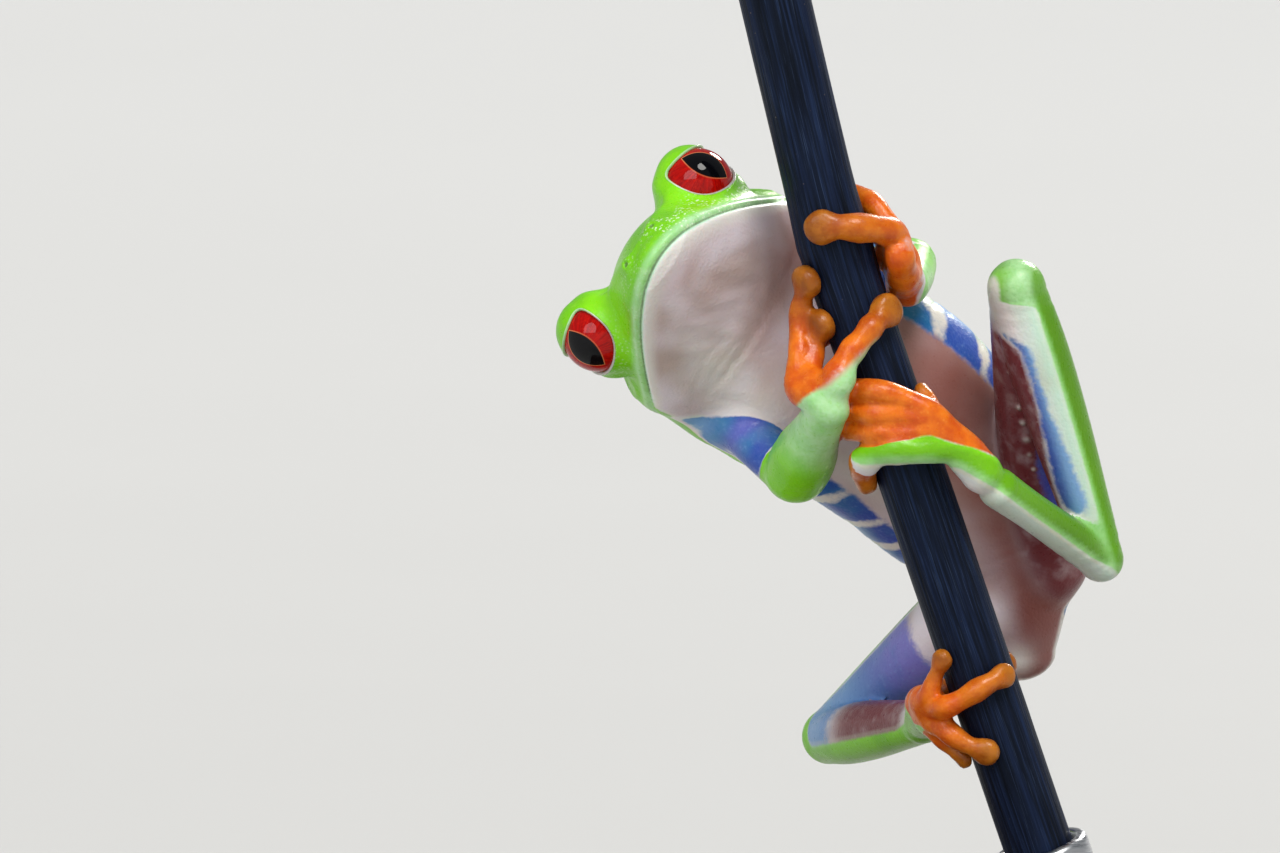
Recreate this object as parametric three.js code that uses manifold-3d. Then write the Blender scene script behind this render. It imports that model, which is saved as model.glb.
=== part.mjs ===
// A life-size model of a red-eyed tree frog gripping a cut length of plant stem, held on a plain stand.
// Units are millimetres, +Z is up, -Y is the side that the frog's belly and face look to,
// and the origin is the middle of the stand's underside.
import * as THREE from "three";
import { LoftGeometry } from "three/addons/geometries/LoftGeometry.js";
import { mergeVertices } from "three/addons/utils/BufferGeometryUtils.js";
import Module from "manifold-3d";

const wasm = await Module();
wasm.setup();

// ---------------------------------------------------------------- driving dimensions

const GAP = 0.3; // clear space kept between neighbouring solids

const STAND = { width: 78, depth: 62, height: 7, corner: 9, bevel: 1.2, rod: 1.6, ferrule: 4.2 };
const STEM = { radius: 2.95, bottom: 13.5, top: 91, node: 67.5, nodeSwell: 0.2 };

// Distances in the head run forward, left and up from the middle between the eyes.
const EYE = { radius: 3.2, side: 7.5, lid: 3.8, facing: 47, lift: 0.1, opening: 1.15 };
const HEAD = { snout: 9.6, jawLength: 16.8, jawWidth: 11, skew: 0.35, back: -9, roll: 33.2, pitch: 25 };
const PROFILE = { crown: 2.3, muzzle: 0.045, mouth: -4.8, throat: -8, throatRise: 0.24, throatSag: 0.007 };
const DIGIT = { root: 1.5, palm: 1.35, padThickness: 0.62 };

// Radii at even steps along each limb.
const UPPER_ARM = [2.2, 2, 2.1, 2.2];
const FOREARM = { left: [2, 2.1, 2, 1.7], right: [2.6, 2.75, 2, 1.7] };
const THIGH = [3.4, 3.6, 3.2, 2.7, 2.2];
const SHANK = [2.2, 2.7, 2.6, 2.2, 1.8];
const TARSUS = [1.85, 1.7, 1.6, 1.8];

// Half widths and half heights at even steps along the trunk, from the neck to its tail end.
const TRUNK_WIDE = [9, 10.4, 10.2, 9.9, 8.6, 5.7, 2.2];
const TRUNK_OVER = [4.6, 5.8, 5.8, 5.6, 5, 4.2, 1.8];
const TRUNK_UNDER = [4.8, 6, 6.4, 6.6, 5.8, 4.4, 1.8];

// ---------------------------------------------------------------- vectors and the stem

const vec = (x, y, z) => new THREE.Vector3(x, y, z);
const radians = THREE.MathUtils.degToRad;

// The stem's middle line at a height: it leans forward and to the left, and bends a little at its node.
function stemAxis(height) {
  const rise = height - STEM.node;
  return vec(-5.8 - 0.295 * rise + 0.055 * Math.hypot(rise, 4), -10.7 - 0.144 * rise, height);
}

// The stem's direction at a height, and the ways to its front and its right.
function stemFrame(height) {
  const along = stemAxis(height + 1).sub(stemAxis(height - 1)).normalize();
  const front = vec(0, -1, 0).addScaledVector(along, along.y).normalize();
  return { along, front, right: along.clone().cross(front) };
}

// A point beside the stem: turn 0 faces the front, 90 the right and 180 the back, lift is off its bark.
function onStem(height, turn, lift) {
  const { front, right } = stemFrame(height);
  const away = STEM.radius + lift;
  return stemAxis(height)
    .addScaledVector(right, away * Math.sin(radians(turn)))
    .addScaledVector(front, away * Math.cos(radians(turn)));
}

// ---------------------------------------------------------------- the head's own frame

const EYES_MIDDLE = vec(-21, -5, 66);
const roll = radians(HEAD.roll);
const pitch = radians(HEAD.pitch);
const headLeft = vec(Math.sin(roll), 0, Math.cos(roll));
const headRight = headLeft.clone().negate();
const rolledUp = vec(-Math.cos(roll), 0, Math.sin(roll));
const headForward = vec(0, -Math.cos(pitch), 0).addScaledVector(rolledUp, Math.sin(pitch));
const headUp = vec(0, Math.sin(pitch), 0).addScaledVector(rolledUp, Math.cos(pitch));

const inHead = (forward, left, up) =>
  EYES_MIDDLE.clone()
    .addScaledVector(headForward, forward)
    .addScaledVector(headLeft, left)
    .addScaledVector(headUp, up);

// ---------------------------------------------------------------- the pose: where each joint lies

const TRUNK_LINE = [
  inHead(-3, 0, -3.2),
  inHead(-8.5, 0, -4),
  vec(-8.3, 3.4, 58),
  vec(-0.2, 6.2, 53.4),
  vec(5.8, 9, 47.5),
  vec(10.3, 11.3, 40.4),
  vec(12.3, 12.6, 30.2),
];
const PELVIS_LEFT = vec(0.89, 0, 0.45);

const ARMS = {
  left: { shoulder: vec(-6.5, 2.5, 65.5), elbow: vec(1.8, 2.4, 66), wrist: vec(0.7, -7, 63.6) },
  right: { shoulder: vec(-15, 2, 53.6), elbow: vec(-8.6, -3, 47.7), wrist: vec(-5.9, -14.4, 54) },
};

const LEGS = {
  left: {
    hip: vec(14.2, 10.5, 40),
    knee: vec(9.9, -6, 64),
    ankle: vec(17.8, 0, 40.5),
    sole: vec(7.6, -10.6, 47.2),
  },
  right: {
    hip: vec(8.2, 10.8, 36.8),
    knee: vec(-4.6, 27.5, 23.6),
    ankle: vec(3, 6.4, 26.4),
    sole: vec(2.4, -3.4, 28.6),
  },
};

// Each digit has its radius, its pad's, and where its bones pass beside the stem: [height, turn, lift].
const digit = (radius, pad, ...bones) => ({ radius, pad, bones });

const FINGERS = {
  left: [
    digit(0.95, 1.3, [64.8, 112, 2.2], [64.4, 148, 1.5], [64.3, 175, 1.1], [64.4, 195, 0.9]),
    digit(0.95, 1.4, [65.6, 104, 2.2], [67, 136, 1.6], [67.8, 170, 1.2], [68, 195, 0.9]),
    digit(1, 1.45, [66.2, 96, 2], [68.4, 103, 1.6], [69.9, 130, 1.3], [70.8, 165, 1.1], [71.1, 195, 0.9]),
    digit(1.2, 1.45, [64.9, 64, 2.3], [66.3, 74, 2.3], [67.6, 50, 1.9], [68.5, 19, 1.2], [69.1, -13, 0.85]),
  ],
  right: [
    digit(0.95, 1.4, [57.7, -64, 4.3], [60.4, -71, 2.9], [62.5, -80, 1.8], [65.2, -61, 0.75]),
    digit(0.9, 1.4, [58.2, -60, 3.3], [60.1, -68, 1.7], [61.6, -63, 0.7]),
    digit(0.9, 1.4, [58.6, -78, 3.2], [59.8, -118, 1.8], [60.6, -165, 1.2], [61, -205, 0.9]),
    digit(1.05, 1.45, [57.5, -34, 3.5], [59, -23, 2.3], [60.2, 0, 1.4], [61.2, 38, 0.75]),
  ],
};

const TOES = {
  left: [
    digit(0.7, 0.75, [52.6, 42, 2.2], [53.6, 48, 1.4], [54.2, 52, 0.8]),
    digit(1.05, 1.35, [52.5, 34, 2.4], [54.5, 14, 1.5], [55.8, -18, 1.2], [56.5, -75, 1], [57, -125, 0.8]),
    digit(
      1.05, 1.45,
      [51.7, 35, 2.4], [53.1, 11, 1.6], [54.2, -24, 1.3], [54.9, -85, 1], [55.2, -140, 1], [55.4, -190, 0.8],
    ),
    digit(
      1.05, 1.5,
      [51, 34, 2.4], [51.9, 5, 1.6], [52.7, -32, 1.3], [53.3, -85, 1], [53.2, -140, 1], [52.6, -190, 0.8],
    ),
    digit(1.25, 1.45, [49.4, 40, 2.5], [50.4, 9, 1.8], [51, -20, 1.6], [50.6, -50, 1.5], [49, -85, 0.9]),
  ],
  right: [
    digit(0.75, 0.9, [31, -72, 2.1], [32.4, -60, 1.4], [33.7, -46, 0.8]),
    digit(0.85, 1.3, [29.6, -100, 1.9], [30.2, -140, 1.3], [30.5, -180, 1], [30.6, -215, 0.9]),
    digit(0.95, 1.05, [30.1, -52, 1.9], [30.4, -31, 1.4], [30.9, -1, 1.1], [31, 27, 0.8]),
    digit(0.9, 1.15, [28.2, -64, 1.8], [27, -51, 1.4], [25.7, -28, 0.8]),
    digit(0.8, 0.95, [27.6, -88, 1.9], [26.5, -84, 1.4], [25.4, -76, 0.8]),
  ],
};

// ---------------------------------------------------------------- solids from three.js geometry

// A closed geometry as a solid that can be joined and cut.
function solidOf(geometry) {
  const bare = new THREE.BufferGeometry();
  bare.setAttribute("position", geometry.getAttribute("position"));
  bare.setIndex(geometry.index);
  const merged = mergeVertices(bare, 1e-4);
  const mesh = new wasm.Mesh({
    numProp: 3,
    vertProperties: new Float32Array(merged.attributes.position.array),
    triVerts: new Uint32Array(merged.index.array),
  });
  return new wasm.Manifold(mesh);
}

function geometryOf(solid) {
  const mesh = solid.getMesh();
  const geometry = new THREE.BufferGeometry();
  geometry.setAttribute("position", new THREE.BufferAttribute(new Float32Array(mesh.vertProperties), 3));
  geometry.setIndex(new THREE.BufferAttribute(new Uint32Array(mesh.triVerts), 1));
  geometry.computeVertexNormals();
  return geometry;
}

const joined = (solids) => solids.reduce((whole, next) => whole.add(next));

// Rings of an egg-shaped section, wide to each side, over above and under below its middle.
function ringsSolid(stations, sides) {
  const rings = stations.map(({ at, side, up, wide, over, under }) =>
    Array.from({ length: sides }, (_, i) => {
      const angle = (2 * Math.PI * i) / sides;
      const high = Math.sin(angle);
      return at
        .clone()
        .addScaledVector(side, wide * Math.cos(angle))
        .addScaledVector(up, (high > 0 ? over : under) * high);
    }),
  );
  return solidOf(new LoftGeometry(rings, { capStart: true, capEnd: true }));
}

// A value that runs smoothly through evenly spaced ones, read at share 0 to 1.
function smoothly(values, share) {
  const line = new THREE.CatmullRomCurve3(values.map((value, i) => vec(i, value, 0)));
  return line.getPoint(Math.min(Math.max(share, 0), 1)).y;
}

// Shares of a length, closer together at its rounded ends.
function roundedShares(count, endShare, roundness) {
  const bends = roundness.map((bend) => endShare * (1 - Math.cos((bend * Math.PI) / 2)));
  const step = (1 - 2 * endShare) / (count + 1);
  const middle = Array.from({ length: count }, (_, i) => endShare + step * (i + 1));
  return [...bends, ...middle, ...bends.map((bend) => 1 - bend).reverse()];
}

// A direction that no limb lies along, which keeps their rings from twisting.
const ACROSS = vec(0.2, 1, 0.3);

// A fleshy tube with round ends along a smooth line. Its radii are spread evenly along it.
function limb(points, radii, { sides = 8, count = 3, roundness = [0.08, 0.5, 1], extra = 0 } = {}) {
  const line = new THREE.CatmullRomCurve3(points, false, "centripetal");
  const endShare = Math.min(0.3, Math.max(radii[0], radii.at(-1)) / line.getLength());
  const stations = roundedShares(count, endShare, roundness).map((share) => {
    const along = line.getTangentAt(share);
    const up = ACROSS.clone().addScaledVector(along, -along.dot(ACROSS)).normalize();
    const inset = Math.min(share, 1 - share, endShare) / endShare;
    const wide = smoothly(radii, share) * Math.sqrt(1 - (1 - inset) ** 2) + extra;
    return { at: line.getPointAt(share), side: up.clone().cross(along), up, wide, over: wide, under: wide };
  });
  if (extra > 0) {
    stations[0].at.addScaledVector(line.getTangentAt(0), -extra);
    stations.at(-1).at.addScaledVector(line.getTangentAt(1), extra);
  }
  return ringsSolid(stations, sides);
}

function ball(centre, radius) {
  const geometry = new THREE.SphereGeometry(radius, 12, 8);
  geometry.translate(centre.x, centre.y, centre.z);
  return solidOf(geometry);
}

// A digit's pad: a thick round disc with its flat side to the stem.
function discPad(centre, outwards, radius) {
  const geometry = new THREE.SphereGeometry(1, 7, 4);
  geometry.scale(radius, radius, radius * DIGIT.padThickness);
  geometry.applyQuaternion(new THREE.Quaternion().setFromUnitVectors(vec(0, 0, 1), outwards));
  geometry.translate(centre.x, centre.y, centre.z);
  return solidOf(geometry);
}

// ---------------------------------------------------------------- stand and perch

function standBase() {
  const { width, depth, height, corner, bevel } = STAND;
  const [x, y, r] = [width / 2 - bevel, depth / 2 - bevel, corner - bevel];
  const outline = new THREE.Shape();
  outline.absarc(x - r, y - r, r, 0, Math.PI / 2);
  outline.absarc(-x + r, y - r, r, Math.PI / 2, Math.PI);
  outline.absarc(-x + r, -y + r, r, Math.PI, 1.5 * Math.PI);
  outline.absarc(x - r, -y + r, r, 1.5 * Math.PI, 2 * Math.PI);
  const geometry = new THREE.ExtrudeGeometry(outline, {
    depth: height - 2 * bevel,
    bevelThickness: bevel,
    bevelSize: bevel,
    bevelSegments: 1,
    curveSegments: 4,
  });
  geometry.translate(0, 0, bevel);
  return solidOf(geometry);
}

// A straight round bar from one point on the stem's line to another.
function barAlongStem(fromHeight, toHeight, radius) {
  const [from, to] = [stemAxis(fromHeight), stemAxis(toHeight)];
  const length = from.distanceTo(to);
  const geometry = new THREE.CylinderGeometry(radius, radius, length, 16);
  const way = to.clone().sub(from).normalize();
  geometry.applyQuaternion(new THREE.Quaternion().setFromUnitVectors(vec(0, 1, 0), way));
  geometry.translate(...from.add(to).multiplyScalar(0.5).toArray());
  return solidOf(geometry);
}

function perchStem(extra) {
  const heights = Array.from({ length: 11 }, (_, i) =>
    THREE.MathUtils.lerp(STEM.bottom - extra, STEM.top + extra, i / 10),
  );
  const stations = heights.map((height) => {
    const { along, front } = stemFrame(height);
    const wide = STEM.radius + STEM.nodeSwell * Math.exp(-(((height - STEM.node) / 3) ** 2)) + extra;
    const side = front.clone().cross(along);
    return { at: stemAxis(height), side, up: front, wide, over: wide, under: wide };
  });
  return ringsSolid(stations, 16);
}

const standRod = () =>
  barAlongStem(0, STEM.bottom - 1.5, STAND.rod).trimByPlane([0, 0, 1], STAND.height + GAP);

function standFerrule() {
  const cup = barAlongStem(STEM.bottom - 1.2, STEM.bottom + 3, STAND.ferrule);
  return cup.subtract(perchStem(GAP));
}

// ---------------------------------------------------------------- head

const eyeCentre = (side) => inHead(0, side * EYE.side, 0);

// The way that an eye looks: out to its side, forward and a little up.
function eyeAxis(side) {
  const turn = radians(EYE.facing);
  return headForward
    .clone()
    .multiplyScalar(Math.cos(turn))
    .addScaledVector(headLeft, side * Math.sin(turn))
    .addScaledVector(headUp, EYE.lift)
    .normalize();
}

// Half the head's width, from a parabola round the mouth's edge that eases into the neck.
function headHalfWidth(forward) {
  const parabola = HEAD.jawWidth * Math.sqrt((HEAD.snout - forward) / HEAD.jawLength);
  return Math.min(parabola, HEAD.jawWidth - 0.05 * Math.min(forward + 7, 0) ** 2);
}

const headTop = (forward) => PROFILE.crown - PROFILE.muzzle * Math.max(forward + 2, 0) ** 2;
const headBottom = (forward) =>
  PROFILE.throat + PROFILE.throatRise * forward - PROFILE.throatSag * Math.min(forward, 0) ** 2;

function headSolid(extra) {
  const nose = [9.55, 9.3, 8.7, 7.6, 6];
  const rest = Array.from({ length: 6 }, (_, i) => 4 - 2.9 * i);
  const stations = [...nose, ...rest].map((forward) => {
    const blunt = Math.sqrt(Math.min(1, (HEAD.snout + 0.05 - forward) / 1.6));
    return {
      at: inHead(forward, HEAD.skew, PROFILE.mouth),
      side: headRight,
      up: headUp,
      wide: headHalfWidth(forward) + extra,
      over: (headTop(forward) - PROFILE.mouth) * (0.35 + 0.65 * blunt) + extra,
      under: (PROFILE.mouth - headBottom(forward)) * blunt + extra,
    };
  });
  const skull = ringsSolid(stations, 16);
  const lids = [1, -1].map((side) => {
    const inwards = eyeAxis(side).negate();
    const rim = eyeCentre(side).addScaledVector(inwards, -EYE.opening);
    return ball(eyeCentre(side), EYE.lid + extra).trimByPlane(inwards.toArray(), rim.dot(inwards));
  });
  return joined([skull, ...lids]);
}

const NECK_CUT = inHead(HEAD.back, 0, -4);
const aheadOfNeck = (solid, slack) =>
  solid.trimByPlane(headForward.toArray(), NECK_CUT.dot(headForward) - slack);
const behindNeck = (solid, slack) =>
  solid.trimByPlane(headForward.clone().negate().toArray(), -NECK_CUT.dot(headForward) - slack);

// ---------------------------------------------------------------- trunk and limbs

function trunkSolid(extra) {
  const line = new THREE.CatmullRomCurve3(TRUNK_LINE, false, "centripetal");
  const shares = [0.02, 0.1, 0.2, 0.3, 0.4, 0.5, 0.6, 0.7, 0.8, 0.88, 0.94, 0.98, 1];
  const stations = shares.map((share) => {
    const along = line.getTangent(share);
    const right = headLeft.clone().lerp(PELVIS_LEFT, share).negate();
    right.addScaledVector(along, -right.dot(along)).normalize();
    const tail = Math.sqrt(Math.max(0, 1 - Math.max(0, (share - 0.94) / 0.062) ** 2));
    return {
      at: line.getPoint(share),
      side: right,
      up: along.clone().cross(right),
      wide: smoothly(TRUNK_WIDE, share) * tail + extra,
      over: smoothly(TRUNK_OVER, share) * tail + extra,
      under: smoothly(TRUNK_UNDER, share) * tail + extra,
    };
  });
  return ringsSolid(stations, 18);
}

const towards = (from, to, reach) => from.clone().add(to.clone().sub(from).setLength(reach));

const THICK = { count: 4, sides: 9 };

const upperArm = ({ shoulder, elbow }, extra) =>
  limb([shoulder, towards(elbow, shoulder, -1.6)], UPPER_ARM, { extra });

const forearm = ({ elbow, wrist }, radii, extra) =>
  limb([towards(elbow, wrist, -1.6), towards(wrist, elbow, -0.6)], radii, { extra });

const thigh = ({ hip, knee }, extra) =>
  limb([towards(hip, knee, -3), towards(knee, hip, -1.7)], THIGH, { extra, ...THICK });

const shank = ({ knee, ankle }, extra) =>
  limb([towards(knee, ankle, -1.7), towards(ankle, knee, -1.6)], SHANK, { extra, ...THICK });

const tarsus = ({ ankle, sole }, extra) =>
  limb([towards(ankle, sole, -1.5), towards(sole, ankle, -0.8)], TARSUS, { extra });

// A hand or foot: digits that spread from one root, wrap round the stem and end in pads.
function gripper(root, digits, extra) {
  const solids = digits.flatMap(({ radius, pad, bones }) => {
    const path = bones.map(([height, turn, lift]) => onStem(height, turn, lift));
    const radii = [DIGIT.root, DIGIT.palm, ...bones.slice(1).map(() => radius)];
    const [height, turn, lift] = bones.at(-1);
    const outwards = onStem(height, turn, lift + 1).sub(onStem(height, turn, lift));
    return [
      limb([root, ...path], radii, { extra, sides: 6, count: bones.length - 1, roundness: [0.3, 1] }),
      discPad(path.at(-1), outwards.normalize(), pad + extra),
    ];
  });
  return joined(solids);
}

// ---------------------------------------------------------------- the pieces, first come first kept

const GREEN = { color: 0x63c81e, roughness: 0.35 };
const ORANGE = { color: 0xe2650f, roughness: 0.4 };
const PIECES = [
  ["stand_base", { color: 0x3a2417, roughness: 0.45 }, standBase],
  ["stand_rod", { color: 0xb8babd, roughness: 0.3, metalness: 1 }, standRod],
  ["stand_ferrule", { color: 0xb8babd, roughness: 0.3, metalness: 1 }, standFerrule],
  ["perch_stem", { color: 0x10131f, roughness: 0.5 }, perchStem],
  ["eye_left", { color: 0xc01010, roughness: 0.05 }, (extra) => ball(eyeCentre(1), EYE.radius + extra)],
  ["eye_right", { color: 0xc01010, roughness: 0.05 }, (extra) => ball(eyeCentre(-1), EYE.radius + extra)],
  ["trunk", GREEN, (extra) => behindNeck(trunkSolid(extra), extra)],
  ["head", GREEN, (extra) => aheadOfNeck(headSolid(extra), extra - GAP)],
  ["thigh_left", GREEN, (extra) => thigh(LEGS.left, extra)],
  ["thigh_right", GREEN, (extra) => thigh(LEGS.right, extra)],
  ["shank_left", GREEN, (extra) => shank(LEGS.left, extra)],
  ["shank_right", GREEN, (extra) => shank(LEGS.right, extra)],
  ["upper_arm_left", GREEN, (extra) => upperArm(ARMS.left, extra)],
  ["upper_arm_right", GREEN, (extra) => upperArm(ARMS.right, extra)],
  ["forearm_left", GREEN, (extra) => forearm(ARMS.left, FOREARM.left, extra)],
  ["forearm_right", GREEN, (extra) => forearm(ARMS.right, FOREARM.right, extra)],
  ["tarsus_left", GREEN, (extra) => tarsus(LEGS.left, extra)],
  ["tarsus_right", GREEN, (extra) => tarsus(LEGS.right, extra)],
  ["hand_left", ORANGE, (extra) => gripper(ARMS.left.wrist, FINGERS.left, extra)],
  ["hand_right", ORANGE, (extra) => gripper(ARMS.right.wrist, FINGERS.right, extra)],
  ["foot_left", ORANGE, (extra) => gripper(LEGS.left.sole, TOES.left, extra)],
  ["foot_right", ORANGE, (extra) => gripper(LEGS.right.sole, TOES.right, extra)],
];

const largest = (solid) =>
  solid.decompose().reduce((best, next) => (next.volume() > best.volume() ? next : best));

const model = new THREE.Group();
const kept = [];
for (const [name, look, make] of PIECES) {
  const cut = kept.reduce((solid, earlier) => solid.subtract(earlier), make(0));
  const mesh = new THREE.Mesh(geometryOf(largest(cut)), new THREE.MeshStandardMaterial(look));
  mesh.name = name;
  model.add(mesh);
  kept.push(make(GAP));
}

export default model;
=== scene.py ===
"""A life-size red-eyed tree frog that grips a cut stem on a display stand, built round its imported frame."""

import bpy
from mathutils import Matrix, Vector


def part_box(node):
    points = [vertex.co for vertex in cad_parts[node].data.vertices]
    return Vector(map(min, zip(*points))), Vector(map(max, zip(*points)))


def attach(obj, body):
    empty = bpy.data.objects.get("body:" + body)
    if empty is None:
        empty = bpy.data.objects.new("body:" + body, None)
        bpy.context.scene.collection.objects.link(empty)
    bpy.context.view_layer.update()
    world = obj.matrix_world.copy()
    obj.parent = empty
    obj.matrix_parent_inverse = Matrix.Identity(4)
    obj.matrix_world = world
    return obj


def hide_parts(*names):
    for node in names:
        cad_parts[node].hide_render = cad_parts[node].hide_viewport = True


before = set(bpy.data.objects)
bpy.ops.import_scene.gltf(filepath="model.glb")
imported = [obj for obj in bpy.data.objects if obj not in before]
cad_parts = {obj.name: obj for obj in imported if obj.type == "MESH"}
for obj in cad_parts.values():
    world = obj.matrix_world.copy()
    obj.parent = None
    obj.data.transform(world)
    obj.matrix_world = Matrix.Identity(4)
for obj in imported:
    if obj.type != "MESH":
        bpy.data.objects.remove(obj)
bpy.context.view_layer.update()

import bpy
import numpy as np
from bpy.props import FloatProperty, FloatVectorProperty, IntProperty, PointerProperty
from bpy.types import Operator, Panel, PropertyGroup
from mathutils import Vector

bl_info = {
    "name": "Red-eyed tree frog",
    "version": (1, 0, 0),
    "blender": (4, 5, 0),
    "location": "3D View > Sidebar > Frog",
    "description": "Builds a red-eyed tree frog on a cut stem and its display stand",
    "category": "Add Mesh",
}

# Lengths in this file are millimetres until a mesh is made. -Y is the side that the belly looks to.
MM = 0.001
FAR = 9.0  # the distance of a point that no part is near


# ---------------------------------------------------------------- small helpers


def vec(*numbers):
    """Numbers as one row of an array."""
    return np.array(numbers, float)


def unit(v):
    """Each row scaled to length 1."""
    return v / np.maximum(np.linalg.norm(v, axis=-1, keepdims=True), 1e-9)


def ease(x, low, high):
    """0 below low, 1 above high, and a smooth S between."""
    t = np.clip((x - low) / (high - low), 0, 1)
    return t * t * (3 - 2 * t)


def hill(x, middle, width):
    """1 at the middle, falling off like a bell of that width."""
    return np.exp(-(((x - middle) / width) ** 2))


def soft_min(a, b, k):
    """The lower of two distances, rounded over k where they are nearly alike."""
    h = np.maximum(k - np.abs(a - b), 0) / np.maximum(k, 1e-6)
    return np.minimum(a, b) - h * h * k / 4


def centre_of(node):
    """The middle of a CAD node's box, in millimetres."""
    low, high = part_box(node)
    return (np.array(low) + np.array(high)) / 2 / MM


# ---------------------------------------------------------------- the pose, as the frame has it

EYES = {1: centre_of("eye_left"), -1: centre_of("eye_right")}
EYE_RADIUS = float(np.diff(np.array(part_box("eye_left"))[:, 2])[0] / 2 / MM)
EYES_MIDDLE = (EYES[1] + EYES[-1]) / 2
HEAD_LEFT = unit(EYES[1] - EYES[-1])
HEAD_PITCH = np.radians(25)
ROLLED_UP = unit(np.cross(HEAD_LEFT, vec(0, 1, 0)))
HEAD_FORWARD = vec(0, -np.cos(HEAD_PITCH), 0) + np.sin(HEAD_PITCH) * ROLLED_UP
HEAD_UP = vec(0, np.sin(HEAD_PITCH), 0) + np.cos(HEAD_PITCH) * ROLLED_UP

STEM_RADIUS = 2.95
STEM_NODE = 67.5
STEM_BOTTOM = 13.5
STEM_TOP = 91.0

ARMS = {
    "left": [(-6.5, 2.5, 65.5), (1.8, 2.4, 66), (0.7, -7, 63.6)],
    "right": [(-15, 2, 53.6), (-8.6, -3, 47.7), (-5.9, -14.4, 54)],
}
LEGS = {
    "left": [(14.2, 10.5, 40), (9.9, -6, 64), (17.8, 0, 40.5), (7.6, -10.6, 47.2)],
    "right": [(8.2, 10.8, 36.8), (-4.6, 27.5, 23.6), (3, 6.4, 26.4), (2.4, -3.4, 28.6)],
}

# Each digit: its radius, its pad's radius, and (height, turn, lift) of its bones beside the stem.
FINGERS = {
    "left": [
        (0.95, 1.3, [(64.8, 112, 2.2), (64.4, 148, 1.5), (64.3, 175, 1.1), (64.4, 195, 0.9)]),
        (0.95, 1.4, [(65.6, 104, 2.2), (67, 136, 1.6), (67.8, 170, 1.2), (68, 195, 0.9)]),
        (1, 1.45, [(66.2, 96, 2), (68.4, 103, 1.6), (69.9, 130, 1.3), (70.8, 165, 1.1), (71.1, 195, 0.9)]),
        (1.2, 1.45, [(64.9, 64, 2.3), (66.3, 74, 2.3), (67.6, 50, 1.9), (68.5, 19, 1.2),
                     (69.1, -13, 0.85)]),
    ],
    "right": [
        (0.95, 1.4, [(57.7, -64, 4.3), (60.4, -71, 2.9), (62.5, -80, 1.8), (65.2, -61, 0.75)]),
        (0.9, 1.4, [(58.2, -60, 3.3), (60.1, -68, 1.7), (61.6, -63, 0.7)]),
        (0.9, 1.4, [(58.6, -78, 3.2), (59.8, -118, 1.8), (60.6, -165, 1.2), (61, -205, 0.9)]),
        (1.05, 1.45, [(57.5, -34, 3.5), (59, -23, 2.3), (60.2, 0, 1.4), (61.2, 38, 0.75)]),
    ],
}
TOES = {
    "left": [
        (0.7, 0.75, [(52.6, 42, 2.2), (53.6, 48, 1.4), (54.2, 52, 0.8)]),
        (1.05, 1.35, [(52.5, 34, 2.4), (54.5, 14, 1.5), (55.8, -18, 1.2), (56.5, -75, 1), (57, -125, 0.8)]),
        (1.05, 1.45, [(51.7, 35, 2.4), (53.1, 11, 1.6), (54.2, -24, 1.3), (54.9, -85, 1), (55.2, -138, 1),
                      (55.4, -190, 0.8)]),
        (1.05, 1.5, [(51, 34, 2.4), (51.9, 5, 1.6), (52.7, -32, 1.3), (53.3, -85, 1), (53, -138, 1),
                     (52.6, -190, 0.8)]),
        (1.25, 1.45, [(49.4, 40, 2.5), (50.4, 9, 1.8), (51, -20, 1.6), (50.6, -50, 1.5), (49, -85, 0.9)]),
    ],
    "right": [
        (0.75, 0.9, [(31, -72, 2.1), (32.4, -60, 1.4), (33.7, -46, 0.8)]),
        (0.85, 1.3, [(29.6, -100, 1.9), (30.2, -140, 1.3), (30.5, -180, 1), (30.6, -215, 0.9)]),
        (0.95, 1.05, [(30.1, -52, 1.9), (30.4, -31, 1.4), (30.9, -1, 1.1), (31, 27, 0.8)]),
        (0.9, 1.15, [(28.2, -64, 1.8), (27, -51, 1.4), (25.7, -28, 0.8)]),
        (0.8, 0.95, [(27.6, -88, 1.9), (26.5, -84, 1.4), (25.4, -76, 0.8)]),
    ],
}


def in_head(forward, left, up):
    """A point given by its way forward, left and up from the middle between the eyes."""
    return EYES_MIDDLE + forward * HEAD_FORWARD + left * HEAD_LEFT + up * HEAD_UP


def head_places(points):
    """How far each point lies forward, left and up of the middle between the eyes."""
    away = points - EYES_MIDDLE
    return away @ HEAD_FORWARD, away @ HEAD_LEFT, away @ HEAD_UP


def stem_axis(height):
    """The stem's middle line: it leans forward and to the left, and bends a little at its node."""
    rise = np.asarray(height, float) - STEM_NODE
    x = -5.8 - 0.295 * rise + 0.055 * np.hypot(rise, 4)
    return np.stack([x, -10.7 - 0.144 * rise, rise + STEM_NODE], -1)


def stem_frame(height):
    """The stem's direction at a height, and the ways to its front and its right."""
    along = unit(stem_axis(height + 1) - stem_axis(height - 1))
    front = unit(vec(0, -1, 0) + along * along[..., 1:2])
    return along, front, np.cross(along, front)


def on_stem(height, turn, lift):
    """A point beside the stem: turn 0 faces the front, 90 the right, and lift is off its bark."""
    _, front, right = stem_frame(height)
    turn = np.radians(turn)
    return stem_axis(height) + (STEM_RADIUS + lift) * (right * np.sin(turn) + front * np.cos(turn))


def off_stem(points):
    """The way from the stem's line to each point at its own height."""
    return points - stem_axis(points[:, 2])


def stem_distance(points):
    """How far points lie off the stem's bark, measured square to its line."""
    height = points[:, 2]
    for _ in range(2):
        along, _, _ = stem_frame(height)
        height = height + ((points - stem_axis(height)) * along).sum(1)
    swell = 0.2 * hill(height, STEM_NODE, 3)
    return np.linalg.norm(points - stem_axis(height), axis=1) - STEM_RADIUS - swell


# ---------------------------------------------------------------- tubes of flesh


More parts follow.
